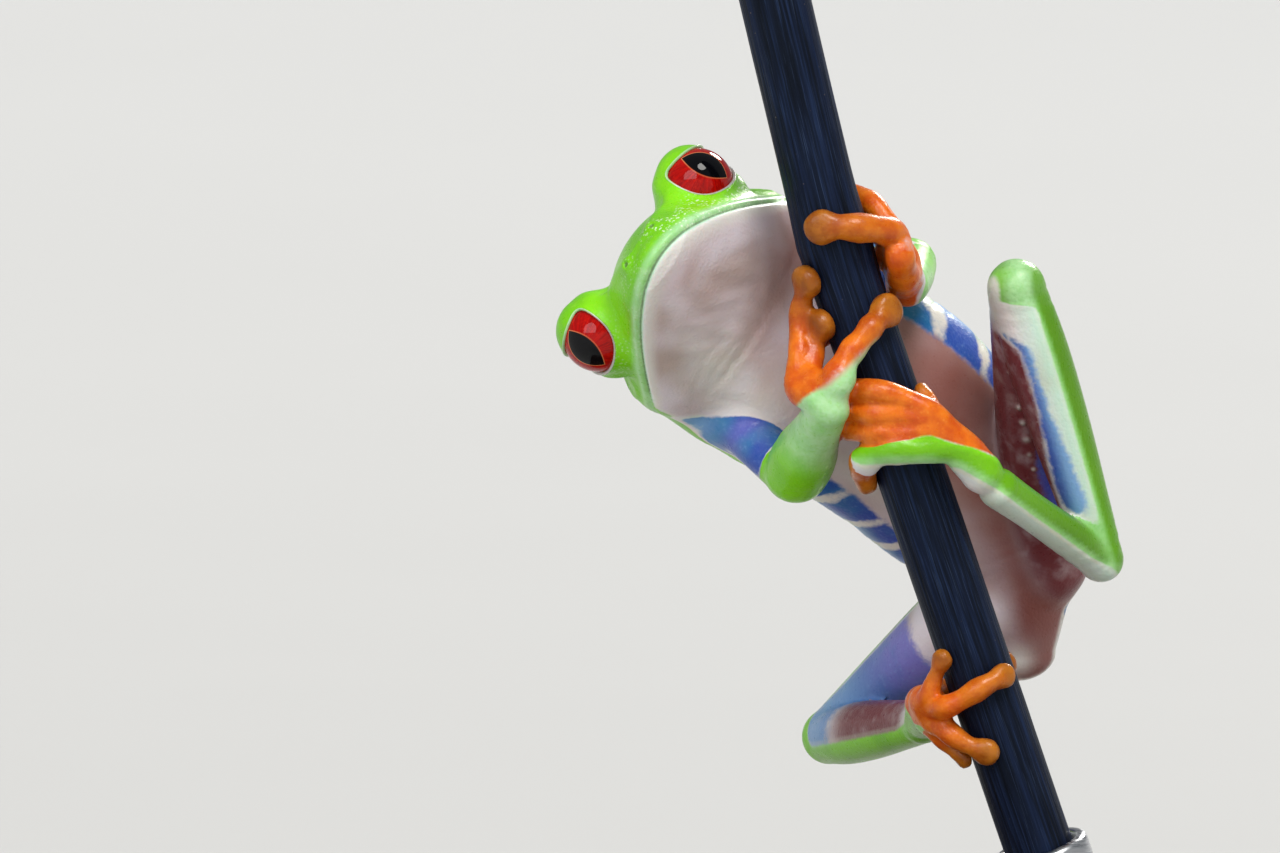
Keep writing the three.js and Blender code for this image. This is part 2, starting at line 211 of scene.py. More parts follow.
def smooth_line(points, count):
    """Evenly spaced points on a centripetal Catmull-Rom curve: cubics whose end slopes come from
    the neighbouring points, spaced by the square roots of their distances."""
    p = np.asarray(points, float)
    p = np.vstack([2 * p[0] - p[1], p, 2 * p[-1] - p[-2]])
    gap = np.linalg.norm(np.diff(p, axis=0), axis=1)[:, None] ** 0.5
    a, b, c, d = p[:-3], p[1:-2], p[2:-1], p[3:]
    before, here, after = gap[:-2], gap[1:-1], gap[2:]
    leave = ((b - a) / before - (c - a) / (before + here) + (c - b) / here) * here
    arrive = ((c - b) / here - (d - b) / (here + after) + (d - c) / after) * here
    t = np.linspace(0, 1, 16, endpoint=False)[None, :, None]
    fine = (2 * t**3 - 3 * t**2 + 1) * b[:, None] + (t**3 - 2 * t**2 + t) * leave[:, None]
    fine = fine + (3 * t**2 - 2 * t**3) * c[:, None] + (t**3 - t**2) * arrive[:, None]
    fine = np.vstack([fine.reshape(-1, 3), p[-2]])
    run = np.concatenate([[0], np.cumsum(np.linalg.norm(np.diff(fine, axis=0), axis=1))])
    even = np.linspace(0, run[-1], count)
    return np.stack([np.interp(even, run, fine[:, i]) for i in range(3)], 1)


def smooth_values(values, count):
    """A cubic through evenly spaced values, read at evenly spaced places."""
    v = np.asarray(values, float)
    v = np.concatenate([[2 * v[0] - v[1]], v, [2 * v[-1] - v[-2]]])
    x = np.linspace(0, len(values) - 1, count)
    i = np.minimum(x.astype(int), len(values) - 2)
    t = x - i
    a, b, c, d = v[i], v[i + 1], v[i + 2], v[i + 3]
    return b + 0.5 * t * (c - a + t * (2 * a - 5 * b + 4 * c - d + t * (3 * (b - c) + d - a)))


class Tube:
    """Flesh round a smooth line, with an egg-shaped section: half as wide as `wide` to its sides,
    `over` above and `under` below its line. Its two ends are round."""

    def __init__(self, name, line, wide, over=None, under=None, up=(0.2, 1, 0.3), rings=26):
        self.name = name
        path = smooth_line(line, 81)
        length = np.linalg.norm(np.diff(path, axis=0), axis=1).sum()
        over = wide if over is None else over
        under = wide if under is None else under
        ends = [min(0.3, min(wide[i], over[i]) / length) for i in (0, -1)]
        shares = np.linspace(ends[0], 1 - ends[1], rings)
        spread = np.linspace(0, 1, 81)
        self.at = np.stack([np.interp(shares, spread, path[:, i]) for i in range(3)], 1)
        self.wide, self.over, self.under = (
            np.interp(shares, spread, smooth_values(v, 81)) for v in (wide, over, under)
        )
        self.along = unit(np.gradient(self.at, axis=0))
        if callable(up):
            up = up(self.at)
        elif np.ndim(up) > 1:
            places = np.linspace(0, 1, len(up))
            up = np.stack([np.interp(shares, places, up[:, i]) for i in range(3)], 1)
        self.up = unit(up - self.along * (up * self.along).sum(1, keepdims=True))
        self.side = np.cross(self.up, self.along)
        self.low = self.at.min(0) - self.wide.max() - 4
        self.high = self.at.max(0) + self.wide.max() + 4

    def read(self, points):
        """Distance off the flesh, share of the length, and place round the section, of each point.
        The distance is measured along the ray from the tube's line."""
        step = np.diff(self.at, axis=0)
        rel = points[:, None, :] - self.at[None, :-1]
        share = np.clip((rel * step).sum(2) / (step * step).sum(1), 0, 1)
        gap = ((rel - share[..., None] * step) ** 2).sum(2)
        k = gap.argmin(1)
        s = share[np.arange(len(k)), k]

        def mix(row):
            return row[k] + (row[k + 1] - row[k]) * (s[:, None] if row.ndim > 1 else s)

        away = points - mix(self.at)
        a = (away * mix(self.side)).sum(1)
        b = (away * mix(self.up)).sum(1)
        c = (away * mix(self.along)).sum(1)
        wide = mix(self.wide)
        tall = np.where(b > 0, mix(self.over), mix(self.under))
        ratio = np.sqrt((a / wide) ** 2 + (b / tall) ** 2 + (c / np.minimum(wide, tall)) ** 2)
        ratio = np.maximum(ratio, 1e-6)
        reach = np.maximum(np.linalg.norm(away, axis=1), 1e-6)
        return {
            "distance": reach - reach / ratio,
            "share": (k + s) / (len(self.at) - 1),
            "round": np.stack([a / wide, b / tall], 1) / ratio[:, None],
            "out": away / reach[:, None],
            "girth": reach / ratio,
        }

    def surface(self, sides=20, caps=5):
        """Rings of the egg-shaped section carried along the line, ended by rings that close in a dome."""
        turn = np.linspace(0, 2 * np.pi, sides, endpoint=False)
        dome = np.linspace(0, np.pi / 2, caps + 1)[1:-1]
        rings = []
        for end, way in ((0, -1), (-1, 1)):
            cap = min(self.wide[end], self.over[end])
            for angle in dome if way > 0 else dome[::-1]:
                at = self.at[end] + way * cap * np.sin(angle) * self.along[end]
                rings.append((end, at, np.cos(angle)))
            if way < 0:
                rings += [(i, self.at[i], 1.0) for i in range(len(self.at))]
        index = np.array([ring[0] for ring in rings])
        at = np.array([ring[1] for ring in rings])
        size = np.array([ring[2] for ring in rings])[:, None, None]
        tall = np.where(np.sin(turn) > 0, self.over[index][:, None], self.under[index][:, None])
        flat = (self.wide[index][:, None] * np.cos(turn))[..., None] * self.side[index][:, None]
        grid = at[:, None] + size * (flat + (tall * np.sin(turn))[..., None] * self.up[index][:, None])
        tips = [self.at[0] - min(self.wide[0], self.over[0]) * self.along[0],
                self.at[-1] + min(self.wide[-1], self.over[-1]) * self.along[-1]]
        return closed_grid(grid, tips)


class Pad:
    """A digit's disc: a round cushion that is thinner than it is wide, flat side to the stem."""

    def __init__(self, name, centre, way, radius, thick):
        self.name, self.centre, self.way = name, centre, way
        self.radius, self.thick = radius, thick
        self.low, self.high = centre - radius - 3, centre + radius + 3

    def read(self, points):
        """Distance off the disc along the ray from its middle: its section is a power of 3, so its edge
        is fuller than a ball's."""
        away = points - self.centre
        high = away @ self.way
        flat = away - high[:, None] * self.way
        wide = np.linalg.norm(flat, axis=1) / self.radius
        ratio = np.maximum((wide**3 + np.abs(high / self.thick) ** 3) ** (1 / 3), 1e-6)
        reach = np.maximum(np.linalg.norm(away, axis=1), 1e-6)
        return {"distance": reach - reach / ratio}

    def surface(self, sides=20, caps=10):
        """Rings from the disc's one face round its edge to the other."""
        turn = np.linspace(0, 2 * np.pi, sides, endpoint=False)
        dip = np.linspace(-np.pi / 2, np.pi / 2, caps + 1)[1:-1]
        side = unit(np.cross(self.way, vec(0.3, 0.5, 0.8)))
        other = np.cross(self.way, side)
        ring = np.cos(turn)[:, None] * side + np.sin(turn)[:, None] * other
        grid = self.centre + self.radius * np.cos(dip)[:, None, None] * ring[None]
        grid = grid + self.thick * np.sin(dip)[:, None, None] * self.way
        middle = self.thick * self.way
        return closed_grid(grid, [self.centre - middle, self.centre + middle])


def closed_grid(grid, tips=None):
    """Vertices and faces of a grid of rings, each joined to the next, with a point at either end."""
    rings, sides = grid.shape[:2]
    index = np.arange(rings * sides).reshape(rings, sides)
    turned = np.roll(index, -1, 1)
    quads = np.stack([index[:-1], turned[:-1], turned[1:], index[1:]], -1).reshape(-1, 4)
    vertices = grid.reshape(-1, 3)
    if tips is None:
        turned_grid = np.roll(index, -1, 0)
        quads = np.stack([index, turned, np.roll(turned_grid, -1, 1), turned_grid], -1).reshape(-1, 4)
        return vertices, quads.tolist()
    first, last = rings * sides, rings * sides + 1
    fans = [(first, b, a) for a, b in zip(index[0], turned[0])]
    fans += [(last, a, b) for a, b in zip(index[-1], turned[-1])]
    return np.vstack([vertices, tips]), quads.tolist() + [tuple(map(int, f)) for f in fans]


# ---------------------------------------------------------------- the head

SNOUT, JAW_LENGTH = 9.6, 16.8  # where the snout ends, and how far back the jaw is widest
JAW_WIDTH, SKEW = 11.0, 0.35  # half the jaw's width, and how far left its middle lies
TIP = 1.0  # length of the snout's rounded tip
MOUTH, LIP_LINE = -4.8, -5.25  # levels, from the middle between the eyes


class Head:
    """The head without its eyes, on its own axes: from the side of a parabola round the mouth's edge,
    domed above the mouth and shallow below it."""

    name = "head"

    def __init__(self):
        corners = np.array([in_head(f, l, u) for f in (-12, 10) for l in (-12, 12) for u in (-11, 4)])
        self.low, self.high = corners.min(0) - 4, corners.max(0) + 4

    @staticmethod
    def sizes(forward):
        """Half the width, and the height over and under the mouth's level, of the section there."""
        ahead = np.clip(forward, -12.5, SNOUT - TIP)
        wide = JAW_WIDTH * np.sqrt((SNOUT - ahead) / JAW_LENGTH)
        wide = np.minimum(wide, JAW_WIDTH - 0.05 * np.minimum(ahead + 7, 0) ** 2)
        blunt = np.sqrt(np.minimum(1, (SNOUT + 0.05 - ahead) / 1.6))
        top = 2.3 - 0.045 * np.maximum(ahead + 2, 0) ** 2 - 0.03 * np.minimum(ahead + 5, 0) ** 2
        bottom = -8 + 0.24 * ahead - 0.007 * np.minimum(ahead, 0) ** 2
        return wide, (top - MOUTH) * (0.35 + 0.65 * blunt), (MOUTH - bottom) * blunt

    def ratio(self, forward, left, up):
        """How far out a place lies, where 1 is on the head's plain surface."""
        wide, over, under = self.sizes(forward)
        high = up - MOUTH
        tall = np.where(high > 0, over, under)
        tip = np.maximum(forward - SNOUT + TIP, 0) / TIP
        nape = np.maximum(-5.0 - forward, 0) / 7.5
        squared = ((left - SKEW) / wide) ** 2 + (high / tall) ** 2
        return np.where(tip > 0, (1 + squared + tip) / 2, np.sqrt(squared + nape**2))

    def read(self, points):
        """The distance is the head's ratio less one, over its slope."""
        f, l, u = head_places(points)
        here = self.ratio(f, l, u)
        small = 0.02
        slope = np.stack([self.ratio(f + small, l, u), self.ratio(f, l + small, u),
                          self.ratio(f, l, u + small)], 1)
        slope = np.linalg.norm((slope - here[:, None]) / small, axis=1)
        distance = (here - 1) / np.maximum(slope, 0.08)
        return {"distance": distance}

    def surface(self, sides=48):
        """Rings across the head, from its snout back to the neck."""
        nose = SNOUT - 0.04 - 9.6 * np.linspace(0, 1, 26)[1:] ** 2.2
        forward = np.concatenate([nose, np.linspace(-1, -12, 12)])
        close = np.sqrt(1 - (np.maximum(-5 - forward, 0) / 7.5) ** 2)
        close = close * np.sqrt(np.minimum((SNOUT - forward) / TIP, 1))
        wide, over, under = (size * close for size in self.sizes(forward))
        turn = np.linspace(0, 2 * np.pi, sides, endpoint=False)
        tall = np.where(np.sin(turn) > 0, over[:, None], under[:, None])
        left = SKEW - wide[:, None] * np.cos(turn)
        up = MOUTH + tall * np.sin(turn)
        grid = EYES_MIDDLE + forward[:, None, None] * HEAD_FORWARD + left[..., None] * HEAD_LEFT
        grid = grid + up[..., None] * HEAD_UP
        return closed_grid(grid, [in_head(SNOUT - 0.01, SKEW, MOUTH), in_head(-12.3, SKEW, MOUTH)])


# The edges of an eye's opening are three planes that cut its ball, in (forward, outward, up).
OPENING = [
    (vec(-0.1, -0.15, -0.98), -0.57),
    (vec(0.5, 0.865, 0.03), 0.2),
    (vec(0.688, 0.668, 0.288), 0.19),
]
LID_EDGE = 3.42  # how far from the eye's middle the lids' outer side lies at the opening
LID_BULGE = 0.36  # how much further it lies away from the opening
LID_REACH = 4.4  # within this distance of the eye's middle, skin belongs to the lids


def eye_axes(side):
    """An eye's own axes as rows: forward, outward and up."""
    return np.stack([HEAD_FORWARD, side * HEAD_LEFT, HEAD_UP])


def opening(ways, side):
    """How far inside the eye's opening a direction from its centre lies, as a share of the radius."""
    local = ways @ eye_axes(side).T
    edges = [local @ normal - level for normal, level in OPENING]
    return soft_min(soft_min(edges[0], edges[1], 0.24), edges[2], 0.14)


class Lid:
    """The lids as one ball of skin over the eye, thin at the opening's edge."""

    def __init__(self, side):
        self.name, self.side, self.centre = "lid", side, EYES[side]
        self.low, self.high = self.centre - 7, self.centre + 7

    def read(self, points):
        """Distance off a ball that is a little smaller round the eye's opening."""
        away = points - self.centre
        reach = np.maximum(np.linalg.norm(away, axis=1), 1e-6)
        inside = opening(away / reach[:, None], self.side)
        return {"distance": reach - (LID_EDGE + LID_BULGE * ease(-inside, 0.0, 0.5))}

    def surface(self, sides=40, caps=24):
        """Rings of a ball from its lowest point to its highest."""
        turn = np.linspace(0, 2 * np.pi, sides, endpoint=False)
        dip = np.linspace(-np.pi / 2, np.pi / 2, caps + 1)[1:-1]
        grid = np.stack([np.cos(dip)[:, None] * np.cos(turn), np.cos(dip)[:, None] * np.sin(turn),
                         np.sin(dip)[:, None] + 0 * turn], -1)
        radius = LID_EDGE + LID_BULGE
        return closed_grid(self.centre + radius * grid, self.centre + vec(0, 0, radius) * [[-1], [1]])


# ---------------------------------------------------------------- the body as a list of its parts


def towards(start, end, reach):
    """The point that lies a reach from the start on the way to the end."""
    return np.asarray(start, float) + unit(np.subtract(end, start)) * reach


def trunk_tube():
    """The trunk, from inside the head down the back to the tail end."""
    line = [in_head(-3, 0, -3.2), in_head(-8.5, 0, -4), (-8.3, 3.4, 58), (-0.2, 6.2, 53.4),
            (5.8, 9, 47.5), (10.3, 11.3, 40.4), (12.3, 12.6, 30.2)]
    path = smooth_line(line, 9)
    along = unit(np.gradient(path, axis=0))
    left = HEAD_LEFT + (vec(0.89, 0, 0.45) - HEAD_LEFT) * np.linspace(0, 1, 9)[:, None]
    return Tube(
        "trunk", line,
        [9, 10.4, 10.2, 9.9, 8.6, 5.7, 2.2],
        [4.6, 5.8, 5.8, 5.6, 5, 4.2, 1.8],
        [4.8, 6, 6.4, 6.6, 5.8, 4.4, 1.8],
        up=np.cross(left, along), rings=40,
    )


def body_parts():
    """Every part, with where it joins the parts before it, how far that join reaches, and how round it
    is."""
    trunk, head = trunk_tube(), Head()
    parts = [(trunk, None, 0, 0), (head, in_head(-9, 0, -4), 40, 2.4)]
    parts += [(Lid(side), EYES[side], 9, 1.7) for side in (1, -1)]
    for name in ("left", "right"):
        hip, knee, ankle, sole = LEGS[name]
        shoulder, elbow, wrist = ARMS[name]
        fore = [2.0, 2.1, 2, 1.7] if name == "left" else [2.6, 2.75, 2, 1.7]
        shoulder_start = towards(shoulder, elbow, -1.5)
        parts += [
            (Tube(f"thigh_{name}", [towards(hip, knee, -3), towards(knee, hip, -1.7)],
                  [3.4, 3.6, 3.2, 2.7, 2.2]), hip, 6, 2.6),
            (Tube(f"shank_{name}", [towards(knee, ankle, -1.7), towards(ankle, knee, -1.6)],
                  [2.2, 2.7, 2.6, 2.2, 1.8]), knee, 2.6, 1.2),
            (Tube(f"tarsus_{name}", [towards(ankle, sole, -1.5), towards(sole, ankle, -0.8)],
                  [1.85, 1.7, 1.6, 1.8]), ankle, 2.2, 1.0),
            (Tube(f"upper_arm_{name}", [shoulder_start, towards(elbow, shoulder, -1.6)],
                  [2.2, 2.1, 2.1, 2.2]), shoulder, 5, 2.4),
            (Tube(f"forearm_{name}", [towards(elbow, wrist, -1.6), towards(wrist, elbow, -0.6)],
                  fore), elbow, 2.6, 1.1),
        ]
        parts += gripper(f"hand_{name}", wrist, FINGERS[name])
        parts += gripper(f"foot_{name}", sole, TOES[name])
    return parts


KNUCKLE_SWELL = 0.07
PAD_THICKNESS = 0.62  # as a share of the pad's radius


def gripper(name, root, digits):
    """The digits of a hand or foot from one root, each swollen at its joints and ending in a pad."""
    parts = []
    for number, (radius, pad, bones) in enumerate(digits, 1):
        places = np.array([on_stem(*map(np.float64, bone)) for bone in bones])
        knots = 4 * len(bones)
        radii = smooth_values([1.5, 1.35] + [radius] * (len(bones) - 1), knots + 1)
        beat = np.linspace(0, len(bones), knots + 1)
        radii = radii * (1 + KNUCKLE_SWELL * np.cos(2 * np.pi * beat))
        radii = radii - 0.14 * radius * ease(beat, len(bones) - 0.9, len(bones))
        parts.append((Tube(f"{name}_{number}", [root, *places], radii, up=off_stem, rings=6 * len(bones)),
                      root, 3.2, 1.0))
        height, turn, lift = bones[-1]
        way = unit(on_stem(height, turn, lift + 1.0) - on_stem(height, turn, lift))
        disc = Pad(f"{name}_{number}_pad", places[-1], way, pad, pad * PAD_THICKNESS)
        parts.append((disc, places[-1], 2.5, 0.45))
    return parts


# ---------------------------------------------------------------- folds and fine forms of the skin

# The fold at the right wrist: its middle, and the way across it.
CREASE_AT = vec(-7.5, -15.2, 51.6)
CREASE_WAY = unit(vec(0.62, 0, 0.78))
# The warts along the left thigh: where each lies, and its radius.
WARTS = [
    (10.0, -3.9, 55.6, 0.33), (10.5, -2.4, 53.5, 0.3), (10.9, -1.5, 52.3, 0.26), (11.3, -0.6, 50.9, 0.28),
    (11.6, 0.2, 49.6, 0.2), (9.3, -4.6, 57.6, 0.24), (9.0, -5.1, 59.2, 0.2), (12.0, 0.8, 48.3, 0.18),
    (10.4, -3.3, 54.5, 0.16), (9.6, -3.6, 56.6, 0.17),
]
NOSTRIL = (8.0, 1.9, -2.5)  # forward, to the side and up
CREASED = (
    "forearm_left", "forearm_right", "upper_arm_right",
    "shank_left", "tarsus_left", "tarsus_right",
)


def nostril_distance(forward, left, up):
    """How far a place on the head is from the nearer nostril."""
    ahead, aside, above = NOSTRIL
    return np.sqrt((forward - ahead) ** 2 + (np.abs(left - SKEW) - aside) ** 2 + (up - above) ** 2)


def wart_distances(points):
    """How far each point lies from the middle of each wart."""
    return [np.linalg.norm(points - vec(*place), axis=1) for *place, _ in WARTS]


def folds(points, reads):
    """How much the skin stands proud of the plain flesh: the lip's groove, ridges, pits and warts."""
    f, l, u = head_places(points)
    side = np.abs(l - SKEW)
    on_head = ease(f, -8, -5) * ease(u, -11, -9)
    proud = on_head * (-0.15 * hill(u, LIP_LINE, 0.12) + 0.12 * hill(u, LIP_LINE + 0.45, 0.32))
    proud = proud + on_head * 0.07 * hill(u, LIP_LINE - 0.4, 0.25)
    nostril = nostril_distance(f, l, u)
    proud = proud + 0.24 * hill(nostril, 0, 0.75) - 0.45 * hill(nostril, 0, 0.24)
    ridge_share = np.clip((f - 2.6) / 5.6, 0, 1)
    ridge = np.hypot(side - (5.3 - 3.6 * ridge_share), u - (0.2 - 2.2 * ridge_share))
    proud = proud + 0.28 * hill(ridge, 0, 0.8) * ease(f, 2.2, 3.4) * ease(-f, -8.6, -7.4)
    lore = np.sqrt((f - 4.6) ** 2 + (side - 6.0) ** 2 * 1.2 + (u + 2.6) ** 2 * 1.6)
    proud = proud - 0.3 * hill(lore, 0, 1.6)
    drum = np.sqrt((f + 5.0) ** 2 + (u + 2.3) ** 2)
    on_side = ease(side, 7, 8.5) * ease(u, -8, -6)
    proud = proud + on_side * (0.13 * hill(drum, 1.35, 0.3) - 0.1 * hill(drum, 0, 1.0))
    fold = np.abs(np.hypot((f + 5.2) / 1.25, u + 2.7) - 2.6)
    proud = proud + on_side * 0.28 * hill(fold, 0, 0.45) * ease(u, -4.5, -2.5)
    crown = hill(f, -1, 4) * hill(side, 0, 3) * ease(u, -1, 1)
    proud = proud - 0.35 * crown
    throat = ease(-u, 6.2, 7.2) * ease(f, -9, -6) * ease(-f, -8, -5)
    proud = proud + throat * 0.035 * np.sin(2.3 * l + 1.6 * np.sin(0.7 * f) + 0.7 * np.sin(1.9 * f + l))
    if "trunk" in reads:
        rows, trunk = reads["trunk"]
        across, above = trunk["round"].T
        share = trunk["share"]
        hump = 0.55 * hill(share, 0.66, 0.1) * ease(above, 0.5, 0.95)
        spine = -0.14 * hill(across, 0, 0.07) * ease(above, 0.7, 1)
        spine = spine * ease(share, 0.15, 0.3) * ease(-share, -0.85, -0.7)
        loin = 0.25 * hill(np.abs(across), 0.42, 0.16) * ease(above, 0.4, 0.8) * hill(share, 0.55, 0.2)
        crease = -0.1 * hill(np.sin(share * 34 + 2.2 * across), 1, 0.5) * hill(np.abs(above), 0.1, 0.35)
        proud[rows] += (hump + spine + loin + crease) * ease(-trunk["distance"], -2.5, -0.3)
    for name in CREASED:
        if name in reads:
            rows, read = reads[name]
            share = read["share"]
            bend = hill(share, 0.04, 0.08) + hill(share, 0.95, 0.08)
            proud[rows] -= 0.05 * bend * ease(np.sin(share * 130 + 2 * read["round"][:, 0]), 0.2, 0.9)
    crease = np.abs(points @ CREASE_WAY - CREASE_AT @ CREASE_WAY)
    from_crease = np.linalg.norm(points - CREASE_AT, axis=1)
    proud = proud - 0.12 * hill(crease, 0, 0.12) * hill(from_crease, 0, 1.5)
    for gap, (*_, radius) in zip(wart_distances(points), WARTS):
        proud = proud + radius * 0.8 * hill(gap, 0, radius)
    return proud


# ---------------------------------------------------------------- markings

# The last marking paints pale specks, and on the head it also paints glitter of light.
# The mint marking also paints a sheen of light along the flanks.
# The violet marking also paints shade into the green of the left leg and foot.
MARKS = (
    "green", "blue", "orange", "maroon", "mint_and_sheen", "pad",
    "blush", "white", "lip", "margin", "violet", "specks_and_glitter",
)
START = {"green": -3, "blue": -3, "orange": -3, "lip": 5}  # the others start at 0

# The middle of each limb's green stripe, its half angle in degrees, and what shows beside it.
STRIPES = {
    "thigh_left": ((0.5, 0.85, 0.2), 62, "maroon"),
    "thigh_right": ((-0.3, 0.9, 0.3), 72, "violet"),
    "shank_left": ((0.99, -0.14, 0.05), 60, "blue"),
    "shank_right": ((-0.2, 0.25, -0.95), 66, "maroon"),
    "tarsus_left": ((0.25, -0.2, 0.95), 88, "cream"),
    "tarsus_right": ((-0.35, 0.45, -0.8), 72, "cream"),
    "upper_arm_left": ((0.2, 0.8, 0.5), 60, "blue"),
    "upper_arm_right": ((-0.5, 0.8, -0.3), 50, "blue"),
    "forearm_left": ((0.9, 0.35, 0.25), 82, "orange"),
    "forearm_right": ((-0.6, -0.35, -0.72), 118, "orange"),
}

RUMP = vec(11.4, 9.8, 31.3)  # the pale spot at the tail end
CHEEK_X, CHEEK_Z = -14.6, 56.5  # the pale spot at the right corner of the jaw

# The height at which orange gives way to green, and green to cream, along x on the left foot.
SOLE_ORANGE = [(-5, 50.5), (-1.4, 51.0), (2.3, 51.2), (6.1, 50.1), (8, 49.4), (10, 48.9), (13, 48.5)]
SOLE_CREAM = [(-5, 48.7), (-0.2, 48.9), (2.3, 48.9), (4.8, 48.5), (8.2, 46.6), (11.8, 44.1), (15.1, 41.9),
              (18, 39.9)]


def blank(count):
    """Every marking at its starting value."""
    return {mark: np.full(count, float(START.get(mark, 0))) for mark in MARKS}


def left_sole(points):
    """How far points lie above the orange line and above the cream line of the left foot."""
    x, z = points[:, 0], points[:, 2]
    return z - np.interp(x, *zip(*SOLE_ORANGE)), z - np.interp(x, *zip(*SOLE_CREAM))


def finger_border(points):
    """The slanting line at the right wrist where pale green gives way to orange."""
    return -0.667 * points[:, 0] + 0.746 * points[:, 2] - 45.3


def wart_cover(points):
    """How far each point lies on one of the thigh's warts: 1 at a wart's middle and 0 away from them."""
    gaps = wart_distances(points)
    return np.max([hill(gap, 0, radius * 0.9) for gap, (*_, radius) in zip(gaps, WARTS)], 0)


def stripe_marks(name, read, points):
    """A limb's markings: green within an angle of its stripe's middle, and another colour beyond."""
    way, half, beside = STRIPES[name]
    marks = blank(len(points))
    out, share, girth = read["out"], read["share"], np.maximum(read["girth"], 1.2)
    marks["green"] = (out @ unit(vec(*way)) - np.cos(np.radians(half))) * girth
    marks["margin"][:] = 0.5
    if name.startswith("shank") or name.startswith("forearm"):
        marks["green"] += 2.8 * ease(-share, -0.06, 0.0)
    if name.startswith("thigh"):
        marks["green"] += 2.8 * ease(share, 0.955, 1.0)
    if beside in ("blue", "violet"):
        marks["blue"][:] = 1.5
        marks["violet"][:] = 0.25
    if beside == "violet":
        marks["violet"] = ease(-share, -0.72, -0.3)
        marks["mint_and_sheen"] = (0.25 + 0.6 * ease(share, 0.45, 0.85)) * ease(-marks["green"], -0.4, 0.1)
        marks["white"] = 0.6 * ease(share, 0.6, 0.9)
        marks["blue"] = 1.1 - 1.2 * ease(share, 0.6, 1.0) - 2 * ease(-share, -0.5, -0.02)
    if name == "thigh_left":
        marks["maroon"][:] = 1
        marks["blue"] = (out @ unit(vec(0.8, -0.5, 0)) - 0.62) * 2.4 + 0.7 * hill(share, 0.42, 0.14) - 0.2
        marks["blue"] -= 3 * ease(-share, -0.3, -0.15)
        marks["violet"] = 0.5 * hill(share, 0.4, 0.2)
        marks["white"] = 0.7 * ease(share, 0.86, 0.95) + 0.9 * wart_cover(points)
        marks["mint_and_sheen"] = 0.4 * ease(share, 0.86, 0.95)
        marks["blue"] -= 2 * wart_cover(points)
    if name == "upper_arm_right":
        marks["violet"] = 0.2 + 0.3 * hill(share, 0.42, 0.18)
    if name == "shank_right":
        marks["maroon"] = ease(share, 0.15, 0.5)
        marks["white"] = 0.6 * ease(-share, -0.4, -0.1)
        marks["blue"] = 0.5 - 1.1 * ease(share, 0.1, 0.5)
        marks["mint_and_sheen"] = 0.85 * ease(-share, -0.6, -0.05) * ease(-marks["green"], -0.4, 0.1)
        marks["margin"][:] = 0.25
    if name == "shank_left":
        beyond = -(out @ unit(vec(*way)) - np.cos(np.radians(half))) * girth
        start = 1.5 - 0.8 * ease(share, 0.35, 0.75) + 2.0 * ease(-share, -0.2, -0.08)
        end = start + 0.8 + 1.3 * ease(share, 0.35, 0.7)
        marks["white"] = 0.85 - 0.3 * ease(beyond, 0.3, 1.2)
        marks["mint_and_sheen"] = 0.9 * ease(beyond, -0.45, 0.2) * ease(-beyond, -2.6, -1.2)
        marks["blue"] = np.minimum(beyond - start, end - beyond) * 0.8
        marks["maroon"] = ease(beyond, end - 0.2, end + 0.3)
        marks["white"] = marks["white"] * (1 - marks["maroon"])
        marks["margin"][:] = 0.2
    if name == "tarsus_left":
        orange, cream = left_sole(points)
        marks["green"] = np.minimum(cream, -orange)
        marks["orange"] = orange
        marks["white"] = 0.7 + 0 * share
        marks["blush"] = 0.5 * ease(-cream, 0.4, 1.6)
        marks["mint_and_sheen"] = 0.75 * ease(-cream, -0.75, 0.1)
        marks["margin"] = 0.7 * ease(-cream, -0.4, 0.2)
    if name == "tarsus_right":
        marks["white"][:] = 0.6
        marks["mint_and_sheen"][:] = 0.4
        marks["orange"] = -0.4 + 1.6 * ease(share, 0.35, 0.75) - marks["green"]
    if name == "forearm_right":
        marks["orange"] = np.maximum(finger_border(points) * 0.25, -marks["green"] * 0.5 - 0.1)
        marks["mint_and_sheen"] = 0.9 * ease(share, 0.25, 0.7)
        marks["margin"][:] = 0
        marks["white"][:] = 0.5
    if name == "forearm_left":
        marks["orange"] = -marks["green"] - 0.3
        marks["mint_and_sheen"] = 0.3 + 0.5 * ease(share, 0.4, 0.9)
        marks["margin"][:] = 0.3
    # The left leg's green is darkened towards moss: painted shade.
    if name in ("shank_left", "thigh_left", "tarsus_left"):
        leg_shade = ease(marks["green"], -0.1, 0.5)
        marks["violet"] = marks["violet"] * (1 - leg_shade) + (0.95 - 0.2 * ease(share, 0.5, 1)) * leg_shade
    return marks


